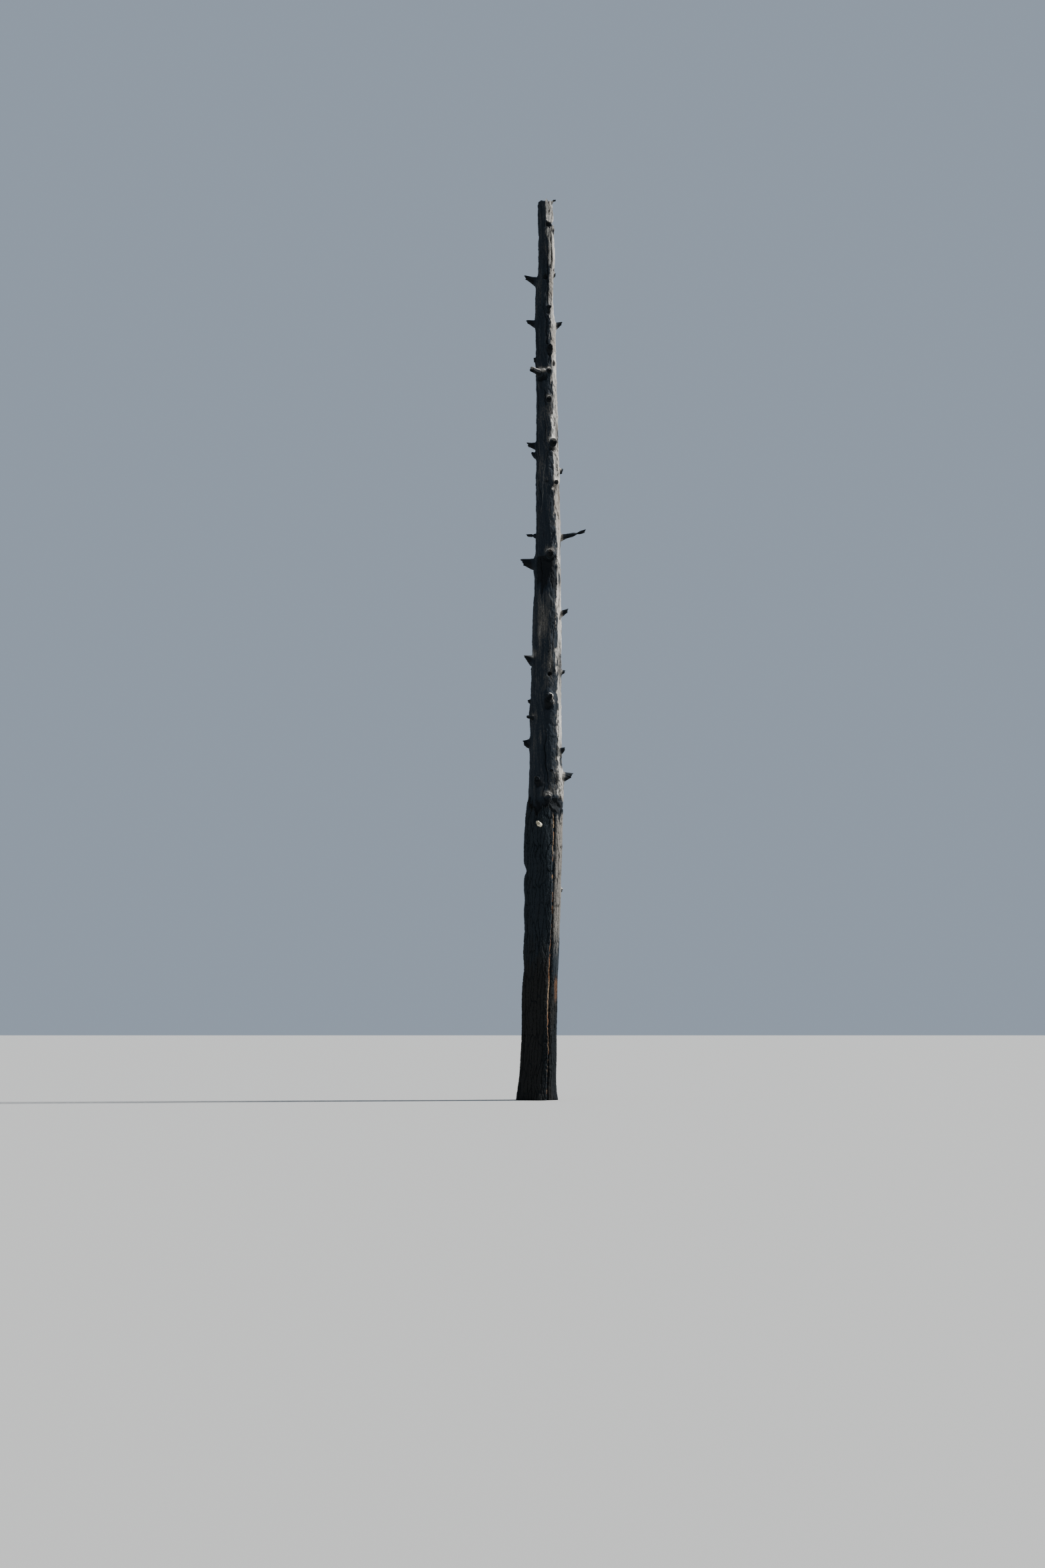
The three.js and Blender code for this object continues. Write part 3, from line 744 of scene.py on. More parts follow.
def metres_across(angle, middle, height):
    """How far round the trunk a place lies from an angle."""
    return angle_between(angle, middle) * along_trunk(height, RADIUS)


def waves(rows, place, start):
    """The sum of a table of waves."""
    return sum(size * np.sin(radians * place + share * start) for size, radians, share in rows)


def near_rows(height, middle, reach):
    """The places in a list of heights that lie within reach of one height."""
    return np.nonzero(np.abs(height - middle) < reach)[0]


def rows_between(height, low, high):
    """The places in a list of heights between two heights, and how far up each one lies."""
    rows = np.nonzero((height > low) & (height < high))[0]
    return rows, (height[rows] - low) / (high - low)


def local_bump(angle, height, row):
    """A smooth mound or dent at a height and azimuth, as deep as its last number says."""
    middle, azimuth, half_height, half_width, size = row
    across = angle_between(angle, to_angle(azimuth)) / math.radians(half_width)
    return size * bump((height - middle) / half_height) * bump(across)


def add_bumps(values, angle, height, rows, share=1):
    """Adds a table of mounds and dents to the values."""
    for row in rows:
        values += share * local_bump(angle, height, row)


def back_stubs():
    """Stubs up the hidden side, kept short enough to stay inside the trunk's outline."""
    random = park_random(BACK_STUB_SEED)
    stubs = []
    for i in range(BACK_STUB_COUNT):
        share = (i + BACK_STUB_SCATTER * next(random)) / BACK_STUB_COUNT
        height = round(lerp(BACK_STUB_HIGH, BACK_STUB_LOW, share), 3)
        azimuth = 180 + math.floor((2 * next(random) - 1) * BACK_STUB_SPREAD + 0.5)
        wood = float(along_trunk(height, RADIUS))
        sideways = max(BACK_STUB_STRAIGHT, abs(math.sin(math.radians(azimuth))))
        root = round(lerp(*BACK_STUB_ROOTS, next(random)), 3)
        tip = BACK_STUB_TAPER * root
        room = (OUTLINE_SHARE * wood - tip) / sideways - wood
        longest = lerp(*BACK_STUB_REACHES, next(random))
        reach = float(np.clip(room, BACK_STUB_SHORTEST, longest))
        rise = math.floor(lerp(*BACK_STUB_RISES, next(random)) + 0.5)
        stubs.append(Stub(f"back_stub_{i + 1}", height, azimuth, reach, root, tip, rise))
    return stubs


ALL_STUBS = STUBS + back_stubs()


def add_root_swellings(radius, angle, height, shape):
    """Adds the wood that has grown up round each stub's root, longer below than above."""
    proud, above, below, wide, limit = shape
    for stub in ALL_STUBS:
        rows = near_rows(height, stub.height, limit * stub.root)
        near = height[rows]
        up = (near - stub.height) / (np.where(near > stub.height, above, below) * stub.root)
        across = metres_across(angle[rows], to_angle(stub.azimuth), near)
        radius[rows] += proud * stub.root * bump(up) * bump(across / (wide * stub.root))


def trunk_radius(angle, height):
    """The radius of the wood with its flutes, lobes, collars and swellings."""
    share = np.ones_like(height)
    for count, depth, turn, start in FLUTES:
        share += depth * np.cos(count * angle + turn * height + start)
    lobes = np.cos(ROOT_LOBES * angle + ROOT_LOBE_START) * np.exp(-height / ROOT_LOBE_HEIGHT)
    radius = along_trunk(height, RADIUS) * share + ROOT_LOBE_DEPTH * lobes
    add_root_swellings(radius, angle, height, COLLAR)
    add_bumps(radius, angle, height, SWELLINGS)
    return radius


def trunk_point(angle, height, radius):
    x = along_trunk(height, LEAN_X) + radius * np.cos(angle)
    y = along_trunk(height, LEAN_Y) + radius * np.sin(angle)
    return np.stack([x, y, height])


def grain_angle(angle, height):
    """The angle that a fibre would have without its twist, and without going round the knots."""
    twist = GRAIN_TWIST * height + TWIST_SIZE * np.tanh((height - TWIST_HEIGHT) / TWIST_REACH)
    grain = angle + twist
    for stub in ALL_STUBS:
        rows = near_rows(height, stub.height, PARTED_LIMIT * stub.root)
        wood = along_trunk(height[rows], RADIUS)
        across = angle_between(angle[rows], to_angle(stub.azimuth)) * wood
        near = bump(across / (PARTED_ACROSS * stub.root))
        near *= bump((height[rows] - stub.height) / (PARTED_UP * stub.root))
        grain[rows] -= PARTED_SHARE * across * near / wood
    return grain


def strip(angle, height, row):
    """A slanting strip: the places on it, how far across it they are, and how it fades."""
    low, high, azimuth_low, azimuth_high, half_width = row[:5]
    rows, up = rows_between(height, low, high)
    middle = to_angle(lerp(azimuth_low, azimuth_high, up)) + waves(STRIP_WANDER, up, low)
    width = half_width * (1 + waves(STRIP_WIDTHS, up, low))
    across = metres_across(angle[rows], middle, height[rows]) / width
    return rows, across, np.sqrt(np.sin(np.pi * up)) * (STRIP_FULL + waves(STRIP_FADES, up, low))


def random_checks(count, depth):
    """Seeded drying checks all round: lowest and highest point, fibre, half width and depth."""
    rng = np.random.default_rng(CHECK_SEED)
    checks = []
    for i in range(count):
        low = lerp(*CHECK_STARTS, (i + rng.random()) / count)
        length = lerp(*CHECK_LENGTHS, rng.random() ** CHECK_POWER)
        fibre = TURN * rng.random()
        half_width = lerp(*CHECK_HALF_WIDTHS, rng.random())
        deep = depth * lerp(*CHECK_DEPTHS, rng.random())
        checks.append((low, min(low + length, CHECK_TOP), fibre, half_width, deep))
    return checks


def random_knots(count):
    """Seeded small knots all round: height, azimuth, radius and how far they stand out."""
    places = np.random.default_rng(KNOT_SEED).uniform(KNOT_LEAST, KNOT_MOST, (count, 4))
    return [(height, azimuth, size, size * proud) for height, azimuth, size, proud in places]


# The relief of the wood: smooth noise with its cells round and a metre upwards, and its depth.
WAVES = [(Ripple(1, 9, 0.8), 0.009), (Ripple(2, 15, 2.4), 0.0075)]
LUMPS = [(Ripple(6, 26, 7), 0.0085), (Ripple(7, 52, 14), 0.0058), (Ripple(8, 110, 36), 0.003)]
FIBRES = [(Ripple(3, 44, 1.3), 0.0036), (Ripple(4, 92, 2.6), 0.0026), (Ripple(5, 64, 7), 0.0014)]
RAGGED = [(Ripple(9, 26, 3), 9), (Ripple(10, 60, 9), 8), (Ripple(14, 90, 22), 5)]
BLOTCH = Ripple(13, 16, 3.2)
HOLE_EDGE = Ripple(15, 40, 12)


def wood_surface(angle, height, wood):
    """The radius of the weathered wood, and the marks that its material reads."""
    radius = trunk_radius(angle, height)
    grain = grain_angle(angle, height)
    add_root_swellings(radius, angle, height, FOOT)
    for ripple, size in WAVES + LUMPS:
        radius += size * ripple(grain, height)
    for ripple, size in FIBRES:
        radius += size * wood.grain_depth / GRAIN_DEPTH * ripple(grain, height)
    hollow = np.zeros_like(height)
    for low, high, fibre, half_width, depth in random_checks(wood.check_count, wood.check_depth):
        rows, up = rows_between(height, low, high)
        across = metres_across(grain[rows], fibre + waves(CHECK_WANDER, up, low), height[rows])
        hollow[rows] += depth * np.sin(np.pi * up) ** CHECK_ENDS * bump(across / half_width)
    for row in CHECKS:
        rows, across, fade = strip(angle, height, row)
        depth, lip = row[5:]
        hollow[rows] += depth * fade * bump(across ** 2)
        radius[rows] += lip * fade * bump((across + LIP_PLACE) / LIP_WIDTH)
    for row in RIDGES:
        rows, across, fade = strip(angle, height, row)
        radius[rows] += row[5] * fade * bump(across)
    for middle, azimuth, half_height, half_width, depth in HOLES:
        across = metres_across(angle, to_angle(azimuth), height) / half_width
        away = across ** 2 + ((height - middle) / half_height) ** 2
        away *= 1 + HOLE_RAGGED * HOLE_EDGE(angle, height)
        hollow += depth * bump(away)
        radius += HOLE_RIM * half_width * bump((np.sqrt(away) - HOLE_RIM_PLACE) / HOLE_RIM_WIDTH)
    for middle, azimuth, size, proud in KNOTS + random_knots(wood.knot_count):
        rows = near_rows(height, middle, KNOT_LIMIT * size)
        across = metres_across(angle[rows], to_angle(azimuth), height[rows]) / size
        away = np.hypot(across, (height[rows] - middle) / size)
        radius[rows] += proud * bump(away)
        hollow[rows] += KNOT_HEART * proud * bump(away / KNOT_HEART_WIDTH)
    ragged = sum(size * ripple(angle, height) for ripple, size in RAGGED)
    burn = burn_share(angle + BURN_RAGGED * np.radians(ragged), height)
    radius -= BURN_DEPTH * burn
    pale = np.zeros_like(height)
    rows, across, fade = strip(angle, height, SCRATCH)
    pale[rows] = fade * bump(across)
    marks = {
        # The hollow mark paints shade into deep places, black by their depth.
        "hollow": np.clip(hollow / BLACK_DEPTH, 0, 1),
        "pale": pale,
        "char": wood_char_and_shade(angle, height, ragged, burn),
    }
    return radius - hollow, grain, marks


def wood_char_and_shade(angle, height, ragged, burn):
    """How dark the wood is, partly char and partly painted light and shade: 0 is silver, two thirds sooted
    and in painted shade, and 1 burnt.
    """
    blotch = BLOTCH_SHARE * smooth(BLOTCH(angle, height) + BLOTCH_RAGGED * ragged, *BLOTCH_NOISE)
    char = np.maximum(SOOT_AND_SHADE_SHARE * soot_and_shade(angle, height, ragged), BARE_SHARE + blotch)
    char = char + BURN_CHAR * burn
    add_bumps(char, angle, height, WOOD_TONE_AND_LIGHT_PATCHES)
    # Painted highlight on the wood above each stub with a painted highlight on its top.
    for stub in ALL_STUBS:
        pale = PAINTED_LIGHT_STUBS.get(stub.name, 0)
        if not pale or stub.name in PAINTED_LIGHT_TURNS:
            continue
        width = math.degrees(CROWN_WIDTH * stub.root / MEAN_RADIUS)
        middle = stub.height + CROWN_PLACE * stub.root
        crown = (middle, stub.azimuth, CROWN_HEIGHT * stub.root, width, pale)
        char -= CROWN_SHARE * local_bump(angle, height, crown)
    return char + smooth(height + BARE_RAGGED * ragged, WOOD_BARE_WHOLLY, WOOD_BARE_FROM)


def burn_share(angle, height):
    """The burnt hollow across the front: sharp at its top, ragged and fading at its foot."""
    azimuth = np.degrees(angle_between(angle, to_angle(0)))
    left, right = BURN_AZIMUTHS
    edge = BURN_SIDE_EDGE
    foot = BURN_FOOT + waves(BURN_FOOT_WAVES, azimuth, 1)
    low, high = BURN_FOOT_EDGE
    burn = smooth(height, BURN_TOP + BURN_TOP_EDGE, BURN_TOP - BURN_TOP_EDGE)
    burn = burn * smooth(height, foot + low, foot + high)
    return burn * smooth(azimuth, left - edge, left + edge) * smooth(azimuth, right + edge, right - edge)


def soot_and_shade(angle, height, ragged=0):
    """How much of the front's soot and painted shade lies on a place, from 0 to 1."""
    azimuth = np.degrees(angle_between(angle, to_angle(0)))
    border = np.interp(height, *SOOT_AND_SHADE_BORDER.T) + ragged
    right = smooth(azimuth, border + SOOT_AND_SHADE_BLEND, border - SOOT_AND_SHADE_BLEND)
    return right * smooth(azimuth, SOOT_AND_SHADE_LEFT - SOOT_AND_SHADE_LEFT_BLEND, SOOT_AND_SHADE_LEFT + SOOT_AND_SHADE_LEFT_BLEND)


def splinters(x, y):
    """Ragged fibres that stand up from the break."""
    return sum(
        size * Ripple(seed, cells, cells, length=1)(TURN * x, y + 0.5) for seed, cells, size in SPLINTERS)


def break_height(x, y):
    """The top of the break above a point, ragged between its front and its back outline."""
    front = np.interp(x, *BREAK_FRONT.T)
    back = np.interp(y, *BREAK_BACK.T)
    return np.minimum(np.minimum(front, back) + splinters(x, y), TREE_HEIGHT)


def under_break(height, top):
    """Squeezes the heights near the top, so that the trunk ends at the break."""
    squeeze = np.maximum(height - SQUEEZE_FROM, 0) / (TREE_HEIGHT - SQUEEZE_FROM)
    return np.where(height > SQUEEZE_FROM, lerp(SQUEEZE_FROM, top, squeeze), height)


def tube(columns, rows, cap_rings):
    """An upright unit tube from 0 to 1, with its two ends closed by rings of faces."""
    bm = bmesh.new()
    bmesh.ops.create_cone(
        bm, cap_ends=True, cap_tris=False, segments=columns, radius1=1, radius2=1, depth=1)
    bmesh.ops.translate(bm, verts=bm.verts, vec=(0, 0, 0.5))
    upright = [e for e in bm.edges if abs(e.verts[0].co.z - e.verts[1].co.z) > 0.5]
    bmesh.ops.subdivide_edges(bm, edges=upright, cuts=rows - 1, use_grid_fill=True)
    for cap in [f for f in bm.faces if len(f.verts) > 4]:
        rings = cap_rings if cap.calc_center_median().z > 0.5 else 0
        for _ in range(rings):
            bmesh.ops.inset_region(bm, faces=[cap], thickness=1 / (rings + 1), use_even_offset=True)
    bmesh.ops.poke(bm, faces=[f for f in bm.faces if len(f.verts) > 4])
    return bm


def panel(columns, rows, wall_rows):
    """A unit panel: across, up and out from 0 to 1, closed at the back and at its edges."""
    bm = bmesh.new()
    bmesh.ops.create_grid(bm, x_segments=columns, y_segments=rows, size=0.5)
    bmesh.ops.translate(bm, verts=bm.verts, vec=(0.5, 0.5, 0))
    raised = bmesh.ops.extrude_face_region(bm, geom=bm.faces[:], use_keep_orig=True)["geom"]
    front = [v for v in raised if isinstance(v, bmesh.types.BMVert)]
    bmesh.ops.translate(bm, verts=front, vec=(0, 0, 1))
    walls = [e for e in bm.edges if abs(e.verts[0].co.z - e.verts[1].co.z) > 0.5]
    bmesh.ops.subdivide_edges(bm, edges=walls, cuts=wall_rows - 1, use_grid_fill=True)
    return bm


def shaped(bm, name, rule):
    """Puts each vertex where the rule says, with the marks that its material reads."""
    mesh = bpy.data.meshes.new(name)
    bm.to_mesh(mesh)
    bm.free()
    flat = np.empty(len(mesh.vertices) * 3, np.float32)
    mesh.vertices.foreach_get("co", flat)
    place, marks = rule(*flat.reshape(-1, 3).T.astype(float))
    mesh.vertices.foreach_set("co", place.T.ravel().astype(np.float32))
    for mark, values in marks.items():
        kind, field = ("FLOAT", "value") if values.ndim == 1 else ("FLOAT_VECTOR", "vector")
        attribute = mesh.attributes.new(mark, kind, "POINT")
        attribute.data.foreach_set(field, values.T.ravel().astype(np.float32))
    mesh.shade_smooth()
    bm = bmesh.new()
    bm.from_mesh(mesh)
    bmesh.ops.recalc_face_normals(bm, faces=bm.faces)
    for edge in bm.edges:
        edge.smooth = edge.calc_face_angle(0) < SHARP_ANGLE
    bm.to_mesh(mesh)
    bm.free()
    piece = bpy.data.objects.new(name, mesh)
    bpy.context.scene.collection.objects.link(piece)
    return piece


def dressed(piece, node, finish):
    """Gives a piece its finish, and puts it in the place of its node."""
    piece.data.materials.append(finish)
    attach(piece, BODY)
    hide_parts(node)
    return piece


class Value:
    """A number that changes over a surface, for plain arithmetic."""

    def __init__(self, finish, socket):
        self.finish = finish
        self.socket = socket

    def _math(self, operation, *values):
        sockets = dict(enumerate(values))
        return self.finish.node("ShaderNodeMath", sockets, operation=operation)

    def __add__(self, other):
        return self._math("ADD", self, other)

    def __radd__(self, other):
        return self._math("ADD", other, self)

    def __sub__(self, other):
        return self._math("SUBTRACT", self, other)

    def __rsub__(self, other):
        return self._math("SUBTRACT", other, self)

    def __mul__(self, other):
        return self._math("MULTIPLY", self, other)

    def __rmul__(self, other):
        return self._math("MULTIPLY", other, self)


class Finish:
    """A material while it is put together from nodes."""

    def __init__(self, name):
        self.material = bpy.data.materials.new(name)
        self.material.use_nodes = True
        self.tree = self.material.node_tree
        self.tree.nodes.clear()

    def node(self, kind, sockets=None, output=0, stops=(), **settings):
        """Adds a node: its settings first, then the values or links of its sockets."""
        made = self.tree.nodes.new(kind)
        for setting, value in settings.items():
            setattr(made, setting, value)
        for i, (place, colour) in enumerate(stops):
            if i > 1:
                made.color_ramp.elements.new(place)
            made.color_ramp.elements[i].position = place
            made.color_ramp.elements[i].color = (*colour, 1)
        for socket, value in (sockets or {}).items():
            if isinstance(value, Value):
                self.tree.links.new(value.socket, made.inputs[socket])
            else:
                made.inputs[socket].default_value = value
        return Value(self, made.outputs[output]) if made.outputs else None

    def mark(self, name, output="Fac"):
        return self.node("ShaderNodeAttribute", output=output, attribute_name=name)

    def place(self):
        return self.node("ShaderNodeTexCoord", output="Object")

    def stretched(self, vector, scale):
        return self.node("ShaderNodeVectorMath", {0: vector, 1: scale}, operation="MULTIPLY")

    def noise(self, vector, scale, detail=3.0, roughness=0.55):
        """Noise from 0 to 1, with its cells a metre along each axis given by the scale."""
        sockets = {"Vector": self.stretched(vector, scale), "Scale": 1.0}
        sockets.update({"Detail": detail, "Roughness": roughness})
        return self.node("ShaderNodeTexNoise", sockets)

    def lines(self, vector, scale):
        """The distance from the nearest border between irregular cells."""
        sockets = {"Vector": self.stretched(vector, scale), "Scale": 1.0}
        return self.node("ShaderNodeTexVoronoi", sockets, feature="DISTANCE_TO_EDGE")

    def between(self, value, low, high):
        """Rises smoothly from 0 at the low value to 1 at the high one."""
        sockets = {"Value": value, "From Min": low, "From Max": high}
        return self.node("ShaderNodeMapRange", sockets, interpolation_type="SMOOTHSTEP")

    def ramp(self, value, *stops):
        return self.node("ShaderNodeValToRGB", {"Fac": value}, stops=stops)

    def mixed(self, share, low, high, how="MIX"):
        """Two colours mixed by a share, a plain colour given by its three numbers."""
        low, high = [c if isinstance(c, Value) else (*c, 1) for c in (low, high)]
        sockets = {0: share, 6: low, 7: high}
        return self.node("ShaderNodeMix", sockets, output=2, data_type="RGBA", blend_type=how)

    def finished(self, colour, roughness, relief, depth, specular=0.25):
        """Closes the material with a shader whose bump stands as deep as it says, in metres."""
        normal = self.node("ShaderNodeBump", {"Height": relief, "Strength": 1.0, "Distance": depth})
        sockets = {"Base Color": colour, "Roughness": roughness}
        sockets.update({"Normal": normal, "Specular IOR Level": specular})
        shader = self.node("ShaderNodeBsdfPrincipled", sockets)
        self.node("ShaderNodeOutputMaterial", {"Surface": shader})
        return self.material


def settings():
    return bpy.context.scene.dead_tree


def scaled(colour, share):
    """A colour made darker or lighter by a share."""
    return [share * part for part in colour]


def swing(noise, size):
    """Noise that swings to both sides of 0 and is as strong as its size says."""
    return size * (noise - 0.5)


def wood_finish(name, wood, checks):
    """Weathered wood: silver fibres that turn dark by place, partly as painted shade, thin checks, warm
    stains, and painted shade in the hollows.
    """
    finish = Finish(name)
    grain = finish.mark("grain", "Vector")
    place = finish.place()
    fibre = finish.noise(grain, (80, 80, 4.5), detail=4.0)
    band = finish.noise(grain, (20, 20, 1.3))
    mottle = finish.noise(place, (34, 34, 20), detail=4.0, roughness=0.65)
    patch = finish.noise(place, (2.6, 2.6, 0.9))
    check = finish.lines(grain, (17, 17, 0.9))
    line = checks * (1 - finish.between(check, 0.0, 0.05)) * finish.between(band, 0.45, 0.6)
    hollow = finish.mark("hollow")
    # Darkness of the wood, partly char and partly painted shade.
    dark = finish.mark("char") + swing(band, 0.4) + swing(fibre, 0.3)
    dark = dark + swing(mottle, 0.4) + swing(patch, 0.45)
    stops = [
        (0.0, wood.silver),
        (0.30, scaled(wood.silver, 0.42)),
        (0.47, scaled(wood.silver, 0.13)),
        (0.62, wood.sooted_and_shaded),
        (1.0, wood.charred),
    ]
    colour = finish.ramp(dark, *stops)
    warm = finish.between(patch, 0.52, 0.72) * (1 - finish.between(dark, 0.5, 0.75))
    colour = finish.mixed(0.45 * warm, colour, wood.stained)
    colour = finish.mixed(0.6 * line, colour, wood.charred)
    # Painted shade: checks, holes and knot hearts turn black by their depth.
    colour = finish.mixed(0.85 * hollow, colour, wood.charred)
    colour = finish.mixed(0.4 * finish.mark("pale"), colour, wood.silver)
    roughness = 0.78 + 0.18 * fibre
    relief = 0.4 * fibre + 0.4 * band + 0.5 * mottle - 0.45 * line
    return finish.finished(colour, roughness, relief, 0.007, specular=0.12)


def bark_finish(name, bark):
    """Charred bark: black scales with painted shade in their fissures, on the shaded front and at the
    right foot, ash-grey where it is unburnt, and orange-brown where broken, mostly on walls that face the
    light.
    """
    finish = Finish(name)
    place = finish.place()
    flake = finish.noise(place, (42, 42, 22), detail=5.0, roughness=0.65)
    coarse = finish.noise(place, (9, 9, 3.2))
    patch = finish.noise(place, (2.4, 2.4, 0.9))
    fissure = finish.mark("fissure")
    tone = finish.mark("tone")
    char = finish.mark("char")
    # How burnt the bark is, with the painted shade of the front and of the right foot.
    burnt_and_shaded = char + swing(patch, 0.3) + swing(flake, 0.5) + swing(tone, 0.22)
    black = finish.mixed(finish.between(char + swing(coarse, 0.9), 0.9, 1.5), bark.charred, bark.scorched)
    colour = finish.mixed(finish.between(burnt_and_shaded, 0.2, 0.72), bark.unburnt, black)
    colour = finish.mixed(0.5 * finish.between(flake, 0.58, 0.76), colour, scaled(bark.charred, 1.7))
    # Deepest black where the value runs highest, mostly the painted shade at the right foot.
    colour = finish.mixed(finish.between(burnt_and_shaded, 1.7, 2.1), colour, scaled(bark.charred, 0.35))
    # Painted shade in the fissures between the scales.
    colour = finish.mixed(0.45 * fissure, colour, scaled(bark.charred, 0.5))
    rusty = finish.mixed(finish.between(coarse, 0.42, 0.62), bark.broken, bark.pale)
    rusty = finish.mixed(0.75 * finish.between(flake, 0.46, 0.62), rusty, scaled(bark.pale, 0.16))
    # Broken edges: partly the bark's own orange-brown, partly painted highlight, as they are kept mostly
    # to walls that face the light.
    broken = finish.between(finish.mark("broken") + swing(coarse, 0.5), 0.4, 0.7)
    colour = finish.mixed(broken, colour, rusty)
    rust = finish.mark("rust") + swing(flake, 0.7) + swing(coarse, 1.1)
    rust = finish.between(rust, 0.4, 0.8)
    colour = finish.mixed(0.5 * rust * (1 - 0.8 * fissure), colour, bark.broken)
    roughness = 0.86 + 0.12 * flake
    relief = 0.8 * flake + 0.4 * coarse
    return finish.finished(colour, roughness, relief, 0.008, specular=0.12)


def fresh_finish(name, cream):
    """Pale wood of a fresher break, with darker fibres."""
    finish = Finish(name)
    grain = finish.mark("grain", "Vector")
    fibre = finish.noise(grain, (120, 120, 9), detail=4.0)
    band = finish.noise(grain, (34, 34, 3))
    colour = finish.mixed(finish.between(band, 0.4, 0.75), cream, scaled(cream, 0.62))
    # Painted shade in the hollows.
    colour = finish.mixed(0.7 * finish.mark("hollow"), colour, scaled(cream, 0.2))
    roughness = 0.7 + 0.2 * fibre
    return finish.finished(colour, roughness, 0.6 * fibre + 0.4 * band, 0.004)


def colour_setting(name, description, default, brightest=1):
    return FloatVectorProperty(
        name=name, description=description, default=default, subtype="COLOR", min=0, max=brightest)


def length_setting(name, description, default, least, most):
    return FloatProperty(
        name=name, description=description, default=default, min=least, max=most, unit="LENGTH")


def count_setting(name, description, default):
    return IntProperty(name=name, description=description, default=default, min=0, max=MOST_COUNTED)


class WoodSettings(bpy.types.PropertyGroup):
    """The weathered wood of the trunk and the stubs."""

    grain_depth: length_setting("Grain depth", "How far the fibres stand out", GRAIN_DEPTH, 0, 0.02)
    check_depth: length_setting("Check depth", "Depth of the deepest drying checks", 0.034, 0, 0.08)
    check_count: count_setting("Checks", "How many drying checks run up the trunk", 60)
    knot_count: count_setting("Small knots", "How many small knots stand out of the wood", 44)
    silver: colour_setting("Silver", "Weathered wood on the sunny side", (0.50, 0.475, 0.43))
    # The sooted colour is the dark front, partly soot and partly painted shade with the blue cast of
    # shade.
    sooted_and_shaded: colour_setting("Sooted", "Dark weathered wood on the front", (0.014, 0.020, 0.027))
    charred: colour_setting("Charred", "Burnt wood, checks and hollows", (0.006, 0.0075, 0.009))
    stained: colour_setting("Stained", "Warm brown stains", (0.19, 0.15, 0.115))
    cream: colour_setting("Cream", "Wood of the fresher break", (0.78, 0.70, 0.53))


class BarkSettings(bpy.types.PropertyGroup):
    """The charred bark plates round the foot."""

    scale_width: length_setting("Scale width", "Width of the bark's scales", 0.085, 0.03, 0.4)
    scale_height: length_setting("Scale height", "Height of the bark's scales", 0.72, 0.05, 2)
    fissure_depth: length_setting("Fissure depth", "Depth of the fissures between scales", 0.022, 0, 0.05)
    charred: colour_setting("Charred", "Burnt face of the bark", (0.0155, 0.0210, 0.0255))
    scorched: colour_setting("Scorched", "Browner burnt bark near the foot", (0.0150, 0.0150, 0.0142))
    unburnt: colour_setting("Unburnt", "Grey-brown bark on the sunny side", (0.175, 0.160, 0.140))
    broken: colour_setting("Broken", "Orange-brown broken bark", (0.17, 0.080, 0.038))
    pale: colour_setting("Pale", "Palest broken bark", (0.25, 0.175, 0.105))


class StageSettings(bpy.types.PropertyGroup):
    """The camera, the light and the floor."""

    sun_azimuth: FloatProperty(
        name="Light azimuth", description="Side that the light comes from, in degrees from the front",
        default=100)
    sun_elevation: FloatProperty(
        name="Light elevation", description="Height of the light above the floor, in degrees",
        default=46)
    sun_strength: FloatProperty(
        name="Light strength", description="Strength of the main light", default=9.0, min=0)
    sun_size: FloatProperty(
        name="Light size", description="Angle that the main light covers", default=math.radians(5.5),
        subtype="ANGLE", min=0)
    fill: colour_setting("Fill", "Colour and strength of the light from all round", (0.30, 0.36, 0.44), 2)
    floor: colour_setting("Floor", "Colour of the floor", (0.34, 0.335, 0.32))


class TreeSettings(bpy.types.PropertyGroup):
    """All that a user may change about the tree."""

    wood: PointerProperty(type=WoodSettings)
    bark: PointerProperty(type=BarkSettings)
    stage: PointerProperty(type=StageSettings)


def trunk_piece(name, low, high, columns, rows, finish):
    """One length of the trunk, from one height to another, closed at both ends."""
    wood = settings().wood
    whole_top = high == TREE_HEIGHT

    def rule(x, y, z):
        angle = np.arctan2(y, x)
        share = np.hypot(x, y)
        height = lerp(low, high, z)
        radius, grain, marks = wood_surface(angle, height, wood)
        place = trunk_point(angle, height, radius * share)
        if whole_top:
            height = under_break(height, break_height(place[0], place[1]))
            radius, grain, marks = wood_surface(angle, height, wood)
            place = trunk_point(angle, height, radius * share)
        marks["char"] += HEART_CHAR * (1 - smooth(share, *HEART_EDGE))
        marks["grain"] = around_axis(along_trunk(height, RADIUS) * share, grain, height)
        return place, marks

    piece = shaped(tube(columns, rows, TOP_RINGS if whole_top else 0), name, rule)
    return dressed(piece, "trunk", finish)


def horn_piece(finish):
    """The thin splinter that curves outwards from the right edge of the break."""
    start, bend, tip = HORN_PATH[:, :, None]
    side = np.array((0, 1, 0))[:, None]
    twist = Ripple(*HORN_NOISE, length=1)

    def rule(x, y, z):
        angle = np.arctan2(y, x)
        share = np.hypot(x, y)
        centre = (1 - z) ** 2 * start + 2 * z * (1 - z) * bend + z ** 2 * tip
        slope = 2 * (1 - z) * (bend - start) + 2 * z * (tip - bend)
        across = np.cross(side, slope / np.linalg.norm(slope, axis=0), axis=0)
        radius = lerp(*HORN_RADII, z) * share * (1 + HORN_UNEVEN * twist(angle, 2 * HORN_LENGTH * z))
        place = centre + across * radius * np.cos(angle) + side * radius * np.sin(angle)
        return place, {
            "grain": around_axis(radius, angle, HORN_LENGTH * z),
            "char": HORN_CHAR[0] + HORN_CHAR[1] * smooth(z, *HORN_BURNT),
        }

    piece = shaped(tube(*HORN_MESH), "trunk_splinter", rule)
    return dressed(piece, "trunk", finish)


